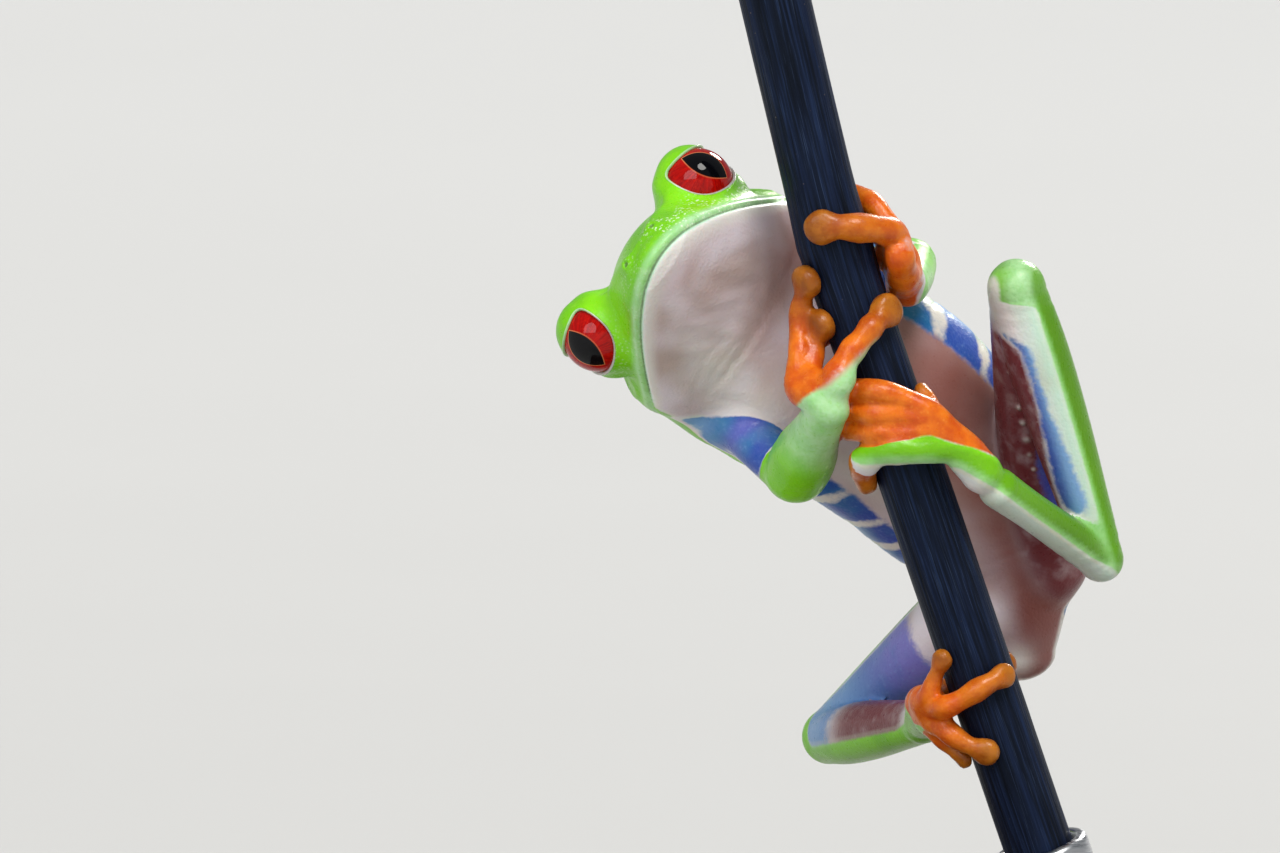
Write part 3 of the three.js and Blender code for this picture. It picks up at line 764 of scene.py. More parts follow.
def trunk_marks(read, points):
    """Green back, a cream edge, blue flanks crossed by cream bars under a painted sheen, and a pink belly."""
    marks = blank(len(points))
    across, above = read["round"].T
    share = read["share"]
    size = np.maximum(read["girth"], 3)
    edge = -0.3 + 0.48 * ease(share, 0.1, 0.45)
    marks["green"] = (above - edge) * size
    low = above + 0.66 - 0.1 * ease(share, 0.6, 0.9)
    band = np.minimum(low, edge - 0.08 - above) * size
    side = np.sign(across)
    bars = np.cos(share * 60 + 3.0 * above + 1.6 * side + 0.9 * np.sin(17 * share + 2 * side))
    bars = (0.5 + 0.4 * ease(-low, -0.4, 0) - bars) * 0.8
    marks["blue"] = np.minimum(band, bars) - 3 * ease(share, 0.9, 1.0)
    marks["violet"] = 0.3 * ease(share, 0.2, 0.6)
    breast = 0.45 * ease(across, 0.2, 0.6) * ease(-band, -0.2, 1.2) * ease(-share, -0.6, -0.45)
    marks["white"] = np.minimum(0.8 * ease(band, -0.15, 0.5) + breast, 0.95)
    # Towards the rear the belly grows browner pink, and maroon underneath: partly its own colour, partly
    # painted shade.
    marks["blush"] = (0.1 + 0.85 * ease(share, 0.15, 0.45)) * (1 - 0.7 * ease(across, -0.1, 0.45))
    marks["maroon"] = 0.35 * ease(share, 0.6, 0.8) * ease(-above, -0.1, 0.6)
    rump = hill(np.linalg.norm(points - RUMP, axis=1), 0, 1.3)
    marks["white"] = np.maximum(marks["white"], 0.9 * rump)
    marks["maroon"] = marks["maroon"] * (1 - rump)
    # A pale blue band just under the green edge of each flank: a painted sheen of light.
    marks["mint_and_sheen"] = 0.85 * hill(above, edge - 0.24, 0.17)
    marks["margin"][:] = 0.8
    marks["specks_and_glitter"] = 0.1 * ease(above, 0.3, 0.8)
    return marks


def head_marks(points):
    """Green above the lip, a pale lip, the dark line of the mouth, a white edge and a pale throat."""
    marks = blank(len(points))
    f, l, u = head_places(points)
    lips = ease(f, -9, -6.5)
    marks["green"] = u - LIP_LINE + 0.04 + (1.3 * ease(-l, 0, 6) - 0.9 * ease(l, 0, 6)) * ease(-f, 4.5, 8)
    from_nostril = np.maximum(nostril_distance(f, l, u) - 0.16, 0)
    marks["lip"] = np.minimum(np.abs(u - LIP_LINE) + 5 * (1 - lips), from_nostril)
    pale = hill(np.hypot(points[:, 0] - CHEEK_X, points[:, 2] - CHEEK_Z), 0, 3.2)
    marks["white"] = np.maximum(ease(u, -6.4, -5.7) * lips, 0.75 * pale)
    marks["margin"] = 0.6 * ease(-f, 3, 8)
    marks["blush"] = 0.06 + 0.55 * ease(-f, 1, 10) * ease(-u, 6, 9)
    marks["blush"] = marks["blush"] + 0.35 * ease(l, 0, 9) * ease(-f, -2, 5)
    marks["mint_and_sheen"] = (0.8 + 0.2 * ease(l, -1, 5)) * ease(-u, 4.0, 4.75) * ease(u, -5.6, -5.35)
    # White specks below and behind the eyes, far more on the left side: partly pale dots, partly painted
    # glitter of light on the wet skin.
    marks["specks_and_glitter"] = (0.25 + 0.75 * ease(l, 0, 3)) * ease(-u, 0.8, 2.8) * ease(f, -6, 0)
    marks["specks_and_glitter"] = marks["specks_and_glitter"] * ease(u, -5.4, -5.2)
    return marks


def digit_marks(name, read, points):
    """Orange digits with amber pads, and pale green on the outermost toes and at the right wrist."""
    marks = blank(len(points))
    marks["orange"][:] = 3
    if name.endswith("_pad"):
        marks["pad"][:] = 1
        return marks
    share = read["share"]
    marks["pad"] = 0.55 * ease(share, 0.45, 0.95)
    if name.startswith("hand_right"):
        marks["orange"] = finger_border(points) * 0.25
        marks["green"] = -finger_border(points) * 0.3
        marks["mint_and_sheen"][:] = 0.95
        marks["white"][:] = 0.5
    if name == "hand_left_4":
        rim = read["out"] @ unit(vec(0.55, -0.2, 0.85)) - 0.35
        fade = ease(-share, -0.62, -0.4)
        marks["white"] = 0.12 * fade
        marks["blush"] = 0.4 * fade
        marks["orange"] = 0.5 - 0.55 * ease(rim, -0.35, 0.55) * fade
    elif name.startswith("hand_left"):
        marks["orange"] = 3 * ease(share, 0.0, 0.1) - 0.3
    if name.startswith("foot_left"):
        orange, cream = left_sole(points)
        tip = ease(share, 0.8, 0.93) if name.endswith("5") else ease(share, 0.3, 0.5)
        marks["orange"] = orange * (1 - tip) + 2.5 * tip
        marks["green"] = np.minimum(cream, -orange) * (1 - tip) - 2 * tip
        marks["white"] = 0.4 * (1 - tip)
        marks["mint_and_sheen"] = 0.8 * ease(-cream, -0.9, -0.1) * ease(cream, -1.3, -0.3)
        marks["margin"] = 0.7 * ease(-cream, -0.4, 0.2)
        # The left foot's green is darkened towards moss too: painted shade.
        marks["violet"] = 0.5 * ease(marks["green"], 0.0, 0.6)
    if name in ("foot_right_5", "foot_right_4"):
        tip = ease(share, 0.2, 0.42)
        rim = (read["out"] @ unit(vec(-0.5, -0.3, -0.8)) - 0.2) * 1.2
        marks["green"] = rim * (1 - tip) - 2 * tip
        marks["orange"] = -rim * (1 - tip) + 2.5 * tip
        marks["mint_and_sheen"][:] = 0.6
    return marks


def marks_of(part, read, points):
    """A part's markings at the points."""
    if part.name == "trunk":
        return trunk_marks(read, points)
    if part.name in ("head", "lid"):
        return head_marks(points)
    if part.name in STRIPES:
        return stripe_marks(part.name, read, points)
    return digit_marks(part.name, read, points)


# ---------------------------------------------------------------- the skin's surface


def near(part, points):
    """The rows of the points that lie close enough to a part to be moved by it."""
    return np.flatnonzero(((points > part.low) & (points < part.high)).all(1))


def body_distance(points, parts, keep=False):
    """Distance off the whole body: the parts' own distances joined one by one, rounded near the joins,
    less what the folds add, and kept off the stem. With keep, the plain joined distance and each part's
    own reading."""
    total = np.full(len(points), FAR)
    reads = {}
    for part, joint, reach, k in parts:
        rows = near(part, points)
        if not len(rows):
            continue
        read = part.read(points[rows])
        reads[id(part) if keep else part.name] = (rows, read)
        if joint is None:
            total[rows] = np.minimum(total[rows], read["distance"])
            continue
        gap = np.linalg.norm(points[rows] - np.asarray(joint), axis=1)
        total[rows] = soft_min(total[rows], read["distance"], 0.12 + k * hill(gap, 0, reach))
    if keep:
        return total, reads
    total = total - folds(points, reads)
    return -soft_min(-total, stem_distance(points) - 0.04, 0.12)


def vertex_normals(points, quads):
    """Each vertex's mean of its faces' normals, from their diagonals."""
    normal = np.cross(points[quads[:, 2]] - points[quads[:, 0]], points[quads[:, 3]] - points[quads[:, 1]])
    corners, count = quads.ravel(), len(points)
    return unit(np.stack([np.bincount(corners, np.repeat(normal[:, i], 4), count) for i in range(3)], 1))


def relaxed(points, quads, share):
    """Each vertex moved a share of the way to the middle of its neighbours along the faces' edges."""
    start = quads.ravel()
    end = np.roll(quads, -1, 1).ravel()
    start, end = np.concatenate([start, end]), np.concatenate([end, start])
    count = np.bincount(start, minlength=len(points))[:, None]
    total = np.stack([np.bincount(start, points[end, i], len(points)) for i in range(3)], 1)
    return points + share * (total / np.maximum(count, 1) - points)


def slope_at(points, parts, step=0.03):
    """The direction in which the distance off the body grows, from its change along each axis."""
    rise = [body_distance(points + step * axis, parts) - body_distance(points - step * axis, parts)
            for axis in np.eye(3)]
    return unit(np.stack(rise, 1))


def fused(vertices, faces, voxel):
    """Closed surfaces fused into one by a voxel remesh, as vertices and quads."""
    mesh = bpy.data.meshes.new("rough")
    mesh.from_pydata(vertices.tolist(), [], faces)
    piece = bpy.data.objects.new("rough", mesh)
    bpy.context.scene.collection.objects.link(piece)
    remesh = piece.modifiers.new("fuse", "REMESH")
    remesh.mode = "VOXEL"
    remesh.voxel_size = voxel
    done = piece.evaluated_get(bpy.context.evaluated_depsgraph_get()).to_mesh()
    points = np.empty(len(done.vertices) * 3)
    done.vertices.foreach_get("co", points)
    corners = np.empty(len(done.loops), int)
    done.loops.foreach_get("vertex_index", corners)
    bpy.data.objects.remove(piece)
    bpy.data.meshes.remove(mesh)
    return largest_piece(points.reshape(-1, 3), corners.reshape(-1, 4))


def drawn_on(points, quads, parts, evens):
    """Vertices drawn onto the smooth joined body, in rounds that first even them out by a share."""
    for even in evens:
        if even:
            points = relaxed(points, quads, even)
        for _ in range(2 if even else 3):
            off = np.clip(body_distance(points, parts), -0.45, 0.45)
            points = points - 0.9 * off[:, None] * vertex_normals(points, quads)
    return points


def calmed(points, quads, parts):
    """Vertices that are still off the body, and the two rings round them, evened out until they lie
    smoothly between their neighbours: small webs where two digits nearly touch."""
    stray = np.abs(body_distance(points, parts)) > 0.06
    for _ in range(2):
        stray[quads[stray[quads].any(1)].ravel()] = True
    for _ in range(16):
        points = np.where(stray[:, None], relaxed(points, quads, 0.7), points)
    return points


def rough_skin(parts, voxel):
    """The parts' plain surfaces fused, drawn onto the body, and fused again, which drops webs that the
    first pass left where two limbs nearly touch."""
    vertices, faces, start = [], [], 0
    for part, *_ in parts:
        points, polygons = part.surface()
        vertices.append(points)
        faces += [[i + start for i in polygon] for polygon in polygons]
        start += len(points)
    points, quads = fused(np.vstack(vertices), faces, voxel)
    points = drawn_on(points, quads, parts, (0.4, 0.3))
    return fused(points, quads.tolist(), voxel)


def largest_piece(points, quads):
    """Only the biggest connected piece of a mesh: labels spread along the faces until they settle."""
    label = np.arange(len(points))
    for _ in range(400):
        low = label[quads].min(1)
        fresh = label.copy()
        np.minimum.at(fresh, quads.ravel(), np.repeat(low, 4))
        fresh = fresh[fresh]
        if (fresh == label).all():
            break
        label = fresh
    keep = label == np.bincount(label).argmax()
    index = np.cumsum(keep) - 1
    return points[keep], index[quads[keep[quads[:, 0]]]]


def finer(points, rows, chosen):
    """Each chosen quad cut in four. A face beside a cut quad gains the middle of their edge as a corner.
    A row holds a face's four corners, each followed by its edge's middle, or by -1 if it has none."""
    corners = rows[:, ::2]
    ends = np.stack([corners, np.roll(corners, -1, 1)], -1)
    keys = ends.min(2) * len(points) + ends.max(2)
    cut, first = np.unique(keys[chosen], return_index=True)
    pairs = ends[chosen].reshape(-1, 2)[first]
    place = np.minimum(np.searchsorted(cut, keys), len(cut) - 1)
    middle = np.where(cut[place] == keys, place + len(points), -1)
    centre = len(points) + len(cut) + np.arange(chosen.sum())[:, None] + np.zeros((1, 4), int)
    grown = np.vstack([points, points[pairs].mean(1), points[corners[chosen]].mean(1)])
    small = np.stack([corners[chosen], middle[chosen], centre, np.roll(middle[chosen], 1, 1)], -1)
    fresh = np.full((small.shape[0] * 4, 8), -1)
    fresh[:, ::2] = small.reshape(-1, 4)
    kept = rows[~chosen].copy()
    kept[:, 1::2] = np.maximum(kept[:, 1::2], middle[~chosen])
    return grown, np.vstack([kept, fresh])


RIM_ZONE = 3.85  # how far from an eye's middle the skin at its opening is cut finest


def fine_zone(points):
    """How far inside the zones of fine detail points lie, for a first and for a second cut: round the
    eyes and nostrils, along the mouth, and on the warts."""
    f, l, u = head_places(points)
    eye = np.minimum(*[np.linalg.norm(points - centre, axis=1) for centre in EYES.values()])
    face = f + 4
    mouth = np.minimum(f + 3.4, 0.55 - np.abs(u - LIP_LINE))
    nose = 1.3 - nostril_distance(f, l, u)
    rim = np.full(len(points), -FAR)
    for side, centre in EYES.items():
        inside = opening(unit(points - centre), side)
        close = np.linalg.norm(points - centre, axis=1) < RIM_ZONE
        rim = np.where(close, 0.13 - np.abs(inside), rim)
    wart = np.min([gap - radius for gap, (*_, radius) in zip(wart_distances(points), WARTS)], 0)
    lips = np.minimum(face, 1.2 - np.abs(u - LIP_LINE))
    eyes = np.minimum(face - 1.0, LID_REACH - eye)
    return np.max([lips, eyes, nose + 0.7, 0.7 - wart], 0), np.max([mouth, rim, nose, 0.15 - wart], 0)


def body_marks(points, parts):
    """Each marking's value at each vertex: the nearest parts' values, mixed where parts meet."""
    _, reads = body_distance(points, parts, keep=True)
    nearest = np.full(len(points), FAR)
    for rows, read in reads.values():
        nearest[rows] = np.minimum(nearest[rows], read["distance"])
    total = np.zeros((len(points), len(MARKS)))
    weight = np.zeros(len(points))
    for part, *_ in parts:
        if id(part) not in reads:
            continue
        rows, read = reads[id(part)]
        share = np.exp(-np.clip((read["distance"] - nearest[rows]) / 0.3, 0, 40))
        marks = marks_of(part, read, points[rows])
        total[rows] += share[:, None] * np.stack([marks[m] for m in MARKS], 1)
        weight[rows] += share
    return total / np.maximum(weight, 1e-9)[:, None]


SUNK = 2.75  # how far from an eye's middle the skin behind the eyeball lies


def open_lids(points):
    """The skin inside each eye's opening is sunk behind the eyeball."""
    moved = points.copy()
    for side, centre in EYES.items():
        away = points - centre
        reach = np.linalg.norm(away, axis=1)
        way = unit(away)
        inside = (opening(way, side) > 0) & (reach < LID_REACH)
        moved[inside] = centre + way[inside] * SUNK
    return moved


RIM_DEPTH = 0.14  # half the lid's edge, measured through the lid


def lid_rim(side, thick, steps=160, sides=12):
    """A thin rounded edge carried round the eye's opening, where the opening's measure is nought."""
    axes = eye_axes(side)
    middle = unit(vec(0.62, 0.76, -0.1) @ axes)
    first = unit(np.cross(middle, HEAD_UP))
    second = np.cross(middle, first)
    turn = np.linspace(0, 2 * np.pi, steps, endpoint=False)[:, None]
    ring = np.cos(turn) * first + np.sin(turn) * second
    low, high = np.zeros((steps, 1)), np.full((steps, 1), 2.4)
    for _ in range(26):
        tilt = (low + high) / 2
        outside = (opening(np.cos(tilt) * middle + np.sin(tilt) * ring, side) < 0)[:, None]
        low, high = np.where(outside, low, tilt), np.where(outside, tilt, high)
    way = unit(np.cos(low) * middle + np.sin(low) * ring)
    path = way * (LID_EDGE - 0.1)
    along = unit(np.roll(path, -1, 0) - np.roll(path, 1, 0))
    across = np.cross(way, along)
    bend = np.linspace(0, 2 * np.pi, sides, endpoint=False)[None, :, None]
    grid = EYES[side] + path[:, None] + thick * np.cos(bend) * across[:, None]
    grid = grid + RIM_DEPTH * np.sin(bend) * way[:, None]
    points, quads = closed_grid(grid)
    marks = blank(len(points))
    pale = ease(-(points - EYES[side]) @ HEAD_UP, -1.2, 2.0)
    marks["green"] = 0.05 - 0.5 * pale
    marks["margin"] = 1 - 0.6 * pale
    marks["mint_and_sheen"][:] = 0.85
    marks["white"] = 0.5 - 0.2 * pale
    marks["blush"] = 0.5 * pale
    return points, np.array(quads), np.stack([marks[m] for m in MARKS], 1)


def skin_surface(voxel, rim):
    """The whole skin: fused, drawn onto the smooth joined body, evened out, cut finer on the head, and
    opened at the eyes."""
    parts = body_parts()
    points, quads = rough_skin(parts, voxel)
    points = calmed(drawn_on(points, quads, parts, (0.6, 0.5, 0.4, 0.3, 0.0)), quads, parts)
    rows = np.full((len(quads), 8), -1)
    rows[:, ::2] = quads
    for level in (0, 1):
        chosen = (fine_zone(points)[level][rows[:, ::2]] > 0.0).all(1) & (rows[:, 1::2] < 0).all(1)
        if level:
            chosen &= np.arange(len(rows)) >= first
        start = len(points)
        points, rows = finer(points, rows, chosen)
        first = len(rows) - 4 * chosen.sum()
        fresh = points[start:]
        for _ in range(2):
            off = np.clip(body_distance(fresh, parts), -0.2, 0.2)
            fresh = fresh - off[:, None] * slope_at(fresh, parts)
        points[start:] = fresh
    marks = body_marks(points, parts)
    points = open_lids(points)
    for side in (1, -1):
        edge, faces, extra = lid_rim(side, rim)
        fresh = np.full((len(faces), 8), -1)
        fresh[:, ::2] = faces + len(points)
        rows = np.vstack([rows, fresh])
        points, marks = np.vstack([points, edge]), np.vstack([marks, extra])
    return points, [row[row >= 0] for row in rows], marks


# ---------------------------------------------------------------- meshes and materials


def new_piece(name, points, faces, replaced, material, marks=None):
    """A smooth mesh at the origin that rides on the frame and stands for CAD nodes."""
    mesh = bpy.data.meshes.new(name)
    mesh.from_pydata((np.asarray(points) * MM).tolist(), [], [list(map(int, f)) for f in faces])
    mesh.shade_smooth()
    for label, values in (marks or {}).items():
        vector = values.ndim > 1
        layer = mesh.attributes.new(label, "FLOAT_VECTOR" if vector else "FLOAT", "POINT")
        layer.data.foreach_set("vector" if vector else "value", np.asarray(values, np.float32).ravel())
    mesh.materials.append(material)
    piece = bpy.data.objects.new(name, mesh)
    bpy.context.scene.collection.objects.link(piece)
    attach(piece, "root")
    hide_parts(*replaced)
    return piece


class Paint:
    """Short ways to add nodes to one material."""

    def __init__(self, name):
        self.material = bpy.data.materials.new(name)
        self.material.use_nodes = True
        self.nodes = self.material.node_tree.nodes
        self.links = self.material.node_tree.links
        self.nodes.clear()
        self.place = self.node("ShaderNodeTexCoord").outputs["Object"]

    def node(self, kind, sockets=None, **settings):
        """One node with its settings, each input linked or given a value."""
        node = self.nodes.new(kind)
        for key, value in settings.items():
            setattr(node, key, value)
        for key, value in (sockets or {}).items():
            if isinstance(value, bpy.types.NodeSocket):
                self.links.new(value, node.inputs[key])
            else:
                node.inputs[key].default_value = value
        return node

    def mix(self, share, first, second):
        """Two colours mixed by a share."""
        node = self.node("ShaderNodeMix", {0: share, 6: first, 7: second}, data_type="RGBA")
        return node.outputs[2]

    def math(self, operation, first, second=0.0):
        """One sum, product or other operation."""
        return self.node("ShaderNodeMath", {0: first, 1: second}, operation=operation).outputs[0]

    def times(self, first, second):
        """A product."""
        return self.math("MULTIPLY", first, second)

    def plus(self, first, second):
        """A sum."""
        return self.math("ADD", first, second)

    def ease(self, value, low, high, start=0.0, end=1.0):
        """From start to end, eased, as the value goes from low to high."""
        sockets = {"Value": value, "From Min": low, "From Max": high, "To Min": start, "To Max": end}
        return self.node("ShaderNodeMapRange", sockets, interpolation_type="SMOOTHSTEP").outputs[0]

    def noise(self, scale, detail=3.0, place=None, distortion=0.0):
        """Soft random clouds, so many to the metre as the scale says."""
        sockets = {"Vector": place or self.place, "Scale": scale}
        sockets.update(Detail=detail, Distortion=distortion)
        return self.node("ShaderNodeTexNoise", sockets).outputs["Fac"]

    def cells(self, scale):
        """The distance to the nearest of scattered points."""
        sockets = {"Vector": self.place, "Scale": scale}
        return self.node("ShaderNodeTexVoronoi", sockets, feature="F1").outputs["Distance"]

    def stretched(self, scale, place=None):
        """Places scaled along each axis, which stretches what is drawn on them."""
        return self.node("ShaderNodeMapping", {"Vector": place or self.place, "Scale": scale}).outputs[0]

    def marks(self, label):
        """The three values of a vector attribute."""
        vector = self.node("ShaderNodeAttribute", attribute_name=label).outputs["Vector"]
        return self.node("ShaderNodeSeparateXYZ", {0: vector}).outputs

    def bump(self, height, depth, strength=1.0, normal=None):
        """A normal tilted as if the surface rose with the height."""
        sockets = {"Height": height, "Distance": depth, "Strength": strength}
        if normal:
            sockets["Normal"] = normal
        return self.node("ShaderNodeBump", sockets).outputs[0]

    def finish(self, color, roughness, normal=None, **uniform):
        """The material, with one surface shader and its other inputs set."""
        sockets = {"Base Color": color, "Roughness": roughness}
        if normal:
            sockets["Normal"] = normal
        sockets.update({key.replace("_", " "): value for key, value in uniform.items()})
        shader = self.node("ShaderNodeBsdfPrincipled", sockets)
        self.node("ShaderNodeOutputMaterial", {"Surface": shader.outputs[0]})
        return self.material


# The fixed colours of the finishes, as linear red, green and blue.
HUES = {
    "chalk": (0.8, 0.78, 0.73),
    "minty_chalk": (0.42, 0.68, 0.5),
    "dull_skin": (0.56, 0.45, 0.42),
    "pearl_skin": (0.78, 0.71, 0.76),
    "rosy_skin": (0.55, 0.34, 0.33),
    # Brown pink of blushes, which on the rear of the belly is partly painted shade.
    "brick_blush_and_shade": (0.27, 0.085, 0.062),
    "maroon": (0.17, 0.03, 0.036),
    "deep_blue": (0.002, 0.08, 0.38),
    "sea_blue": (0.005, 0.2, 0.38),
    "violet": (0.2, 0.12, 0.52),
    "pale_blue": (0.3, 0.5, 0.8),
    # Pale blue of the mint lines over blue, and of the painted sheen along the flanks.
    "powder_blue_and_sheen": (0.22, 0.4, 0.66),
    "burnt_orange": (0.56, 0.075, 0.003),
    "bright_orange": (0.74, 0.17, 0.006),
    "peach": (0.85, 0.35, 0.05),
    "dark_amber": (0.25, 0.065, 0.003),
    "amber": (0.42, 0.14, 0.01),
    "cream": (0.68, 0.68, 0.5),
    "green_cream": (0.72, 0.78, 0.66),
    "lime": (0.36, 0.76, 0.06),
    # Dark green of the painted shade on the left leg and foot.
    "moss_shade": (0.062, 0.165, 0.002),
    "dull_mint": (0.34, 0.66, 0.28),
    "pale_mint": (0.47, 0.75, 0.42),
    # Pale green-white of the specks, which partly paint glitter of light.
    "frost_and_glitter": (0.76, 0.9, 0.66),
    "mouth_line": (0.09, 0.085, 0.07),
    "scarlet": (0.58, 0.012, 0.004),
    "iris_edge": (0.13, 0.002, 0.003),
    "pupil_black": (0.002, 0.002, 0.003),
    "blue_fibre": (0.016, 0.032, 0.085),
    "pale_hair": (0.05, 0.08, 0.15),
    "black_groove": (0.001, 0.001, 0.002),
    "bark_fleck": (0.1, 0.08, 0.07),
    "cut_wood": (0.32, 0.23, 0.12),
    "pale_cut_wood": (0.5, 0.4, 0.24),
    "wood_pore": (0.02, 0.01, 0.006),
    "dark_steel": (0.42, 0.43, 0.45),
    "bright_steel": (0.68, 0.69, 0.71),
}


def color(values):
    """A colour with full cover."""
    return (*values, 1.0)


def hue(name):
    """One of the fixed colours."""
    return color(HUES[name])


def skin_material(settings):
    """Moist frog skin: each marking is laid over the last where its measure, roughened a little, is above
    nought."""
    p = Paint("moist_skin")
    green, blue, orange = p.marks("marks_a")
    maroon, mint_and_sheen, pad = p.marks("marks_b")
    blush, white, lip = p.marks("marks_c")
    margin, violet, specks_and_glitter = p.marks("marks_d")
    broad = p.noise(160, 2)
    middle = p.noise(620, 3)
    fine = p.noise(2600, 3)
    grain = p.noise(6500, 2)
    specks = p.cells(3400)
    ragged = p.plus(p.times(p.math("SUBTRACT", middle, 0.5), 0.4),
                    p.times(p.math("SUBTRACT", fine, 0.5), 0.4))

    soft = p.noise(130, 1, distortion=0.6)
    chalk = p.mix(mint_and_sheen, hue("chalk"), hue("minty_chalk"))
    belly = p.mix(p.ease(soft, 0.3, 0.62), hue("dull_skin"), hue("pearl_skin"))
    belly = p.mix(p.times(p.ease(broad, 0.5, 0.8), 0.4), belly, hue("rosy_skin"))
    # The brick blush browns the belly towards the rear: partly its own colour, partly painted shade.
    belly = p.mix(p.times(blush, p.ease(broad, 0.15, 0.6, 0.7, 1.0)), belly, hue("brick_blush_and_shade"))
    belly = p.mix(p.times(maroon, p.ease(middle, 0.2, 0.55, 0.7, 1.0)), belly, hue("maroon"))
    belly = p.mix(p.times(white, p.ease(middle, 0.25, 0.5, 0.85, 1.0)), belly, chalk)

    flank = p.mix(p.ease(broad, 0.42, 0.62), hue("deep_blue"), hue("sea_blue"))
    flank = p.mix(p.times(violet, p.ease(middle, 0.2, 0.6, 0.6, 1.0)), flank, hue("violet"))
    flank = p.mix(p.times(p.ease(fine, 0.5, 0.8), 0.18), flank, hue("pale_blue"))
    # Mint over blue turns it powder blue: pale lines on the legs, and a painted sheen along the flanks.
    flank = p.mix(mint_and_sheen, flank, hue("powder_blue_and_sheen"))
    body = p.mix(p.ease(p.plus(blue, ragged), -0.22, 0.26), belly, flank)

    warm = p.mix(p.ease(middle, 0.3, 0.7), hue("burnt_orange"), hue("bright_orange"))
    warm = p.mix(p.times(p.ease(fine, 0.55, 0.8), 0.3), warm, hue("peach"))
    amber = p.mix(p.ease(middle, 0.3, 0.7), hue("dark_amber"), hue("amber"))
    warm = p.mix(pad, warm, amber)
    body = p.mix(p.ease(p.plus(orange, p.times(ragged, 0.7)), -0.2, 0.16), body, warm)

    edge = p.plus(green, p.times(ragged, 0.45))
    cream = p.mix(p.ease(middle, 0.35, 0.65), hue("cream"), hue("green_cream"))
    band = p.times(p.ease(edge, -0.5, -0.2), p.ease(orange, 0.15, -0.15))
    body = p.mix(p.times(band, margin), body, cream)
    leaf = p.mix(p.ease(broad, 0.35, 0.65), color(settings.green), color(settings.leaf))
    leaf = p.mix(p.times(p.ease(fine, 0.55, 0.75), 0.25), leaf, hue("lime"))
    # Violet on green darkens it to moss: painted shade, most of all on the left leg and foot.
    leaf = p.mix(p.times(violet, 0.8), leaf, hue("moss_shade"))
    pale = p.mix(p.ease(middle, 0.3, 0.7), hue("dull_mint"), hue("pale_mint"))
    leaf = p.mix(p.times(mint_and_sheen, p.ease(fine, 0.2, 0.6, 0.75, 1.0)), leaf, pale)
    body = p.mix(p.ease(edge, -0.16, 0.12), body, leaf)
    # White specks: partly pale dots, partly painted glitter of light.
    glitter_flecks = p.times(p.ease(specks, 0.42, 0.2), p.ease(middle, 0.42, 0.55))
    body = p.mix(p.times(p.times(glitter_flecks, specks_and_glitter), 0.8), body, hue("frost_and_glitter"))
    gum = p.plus(lip, p.times(ragged, 0.1))
    body = p.mix(p.ease(gum, 0.11, 0.02, 0, 0.6), body, hue("mouth_line"))

    pebbles = p.cells(3300)
    height = p.plus(p.times(pebbles, -0.7), p.times(grain, 0.4))
    normal = p.bump(height, 0.00005, 0.6, p.bump(middle, 0.0001, 0.4))
    rough = p.ease(fine, 0.3, 0.7, 0.27, 0.42)
    return p.finish(
        body, rough, normal, Subsurface_Weight=settings.translucence, Subsurface_Radius=(0.9, 0.45, 0.25),
        Subsurface_Scale=0.001, Coat_Weight=settings.wetness, Coat_Roughness=0.16, Coat_IOR=1.33, IOR=1.33,
    )


# ---------------------------------------------------------------- eyes

# On the eye's own axes: the way that the pupil looks, and the way from one of its tips to the other.
PUPIL_WAY = vec(0.758, 0.605, -0.243)
PUPIL_TIPS = vec(-0.54, 0.17, -1.0)
PUPIL_HALF_LENGTH, PUPIL_HALF_WIDTH = 39.5, 20  # degrees
EYE_FIT = 0.985  # the drawn eyeball's radius, as a share of the node's


def eye_surface(side, rings=120, sides=180):
    """A ball in rings round the line of sight, with the pupil's measure at each vertex: the distance
    inside two arcs that meet at its tips, in millimetres on the ball."""
    axes = eye_axes(side)
    way = unit(PUPIL_WAY @ axes)
    long_way = unit(PUPIL_TIPS @ axes - way * (PUPIL_TIPS @ axes @ way))
    wide_way = np.cross(long_way, way)
    tilt = np.linspace(0, np.pi, rings + 2)[1:-1, None]
    turn = np.linspace(0, 2 * np.pi, sides, endpoint=False)[None]
    long_part, wide_part = tilt * np.cos(turn), tilt * np.sin(turn)
    grid = np.cos(tilt)[..., None] * way + (np.sin(tilt) * np.cos(turn))[..., None] * long_way
    grid = grid + (np.sin(tilt) * np.sin(turn))[..., None] * wide_way
    bulge = 0.1 * hill(tilt, 0, 0.7)[..., None]
    tips = [EYES[side] + EYE_RADIUS * 1.045 * way, EYES[side] - EYE_RADIUS * EYE_FIT * way]
    points, faces = closed_grid(EYES[side] + EYE_RADIUS * (EYE_FIT + bulge * 0.6) * grid, tips)
    half_long, half_wide = np.radians(PUPIL_HALF_LENGTH), np.radians(PUPIL_HALF_WIDTH)
    lens = half_wide * (1 - np.abs(long_part / half_long) ** 2.1)
    lens = lens - np.abs(wide_part) / np.where(side * wide_part < 0, 0.92, 1.12)
    fall = np.concatenate([lens.ravel(), [half_wide, -np.pi]]) * EYE_RADIUS
    angle = np.concatenate([(tilt + 0 * turn).ravel(), [0, np.pi]])
    round_it = np.concatenate([np.broadcast_to(turn, lens.shape).ravel(), [0, 0]])
    inner = np.concatenate([(-side * wide_part).ravel(), [0, 0]])
    spin = np.stack([np.cos(round_it) * 3, np.sin(round_it) * 3, angle], 1)
    return points, faces, {"iris_place": spin, "iris_marks": np.stack([fall, angle, inner], 1)}


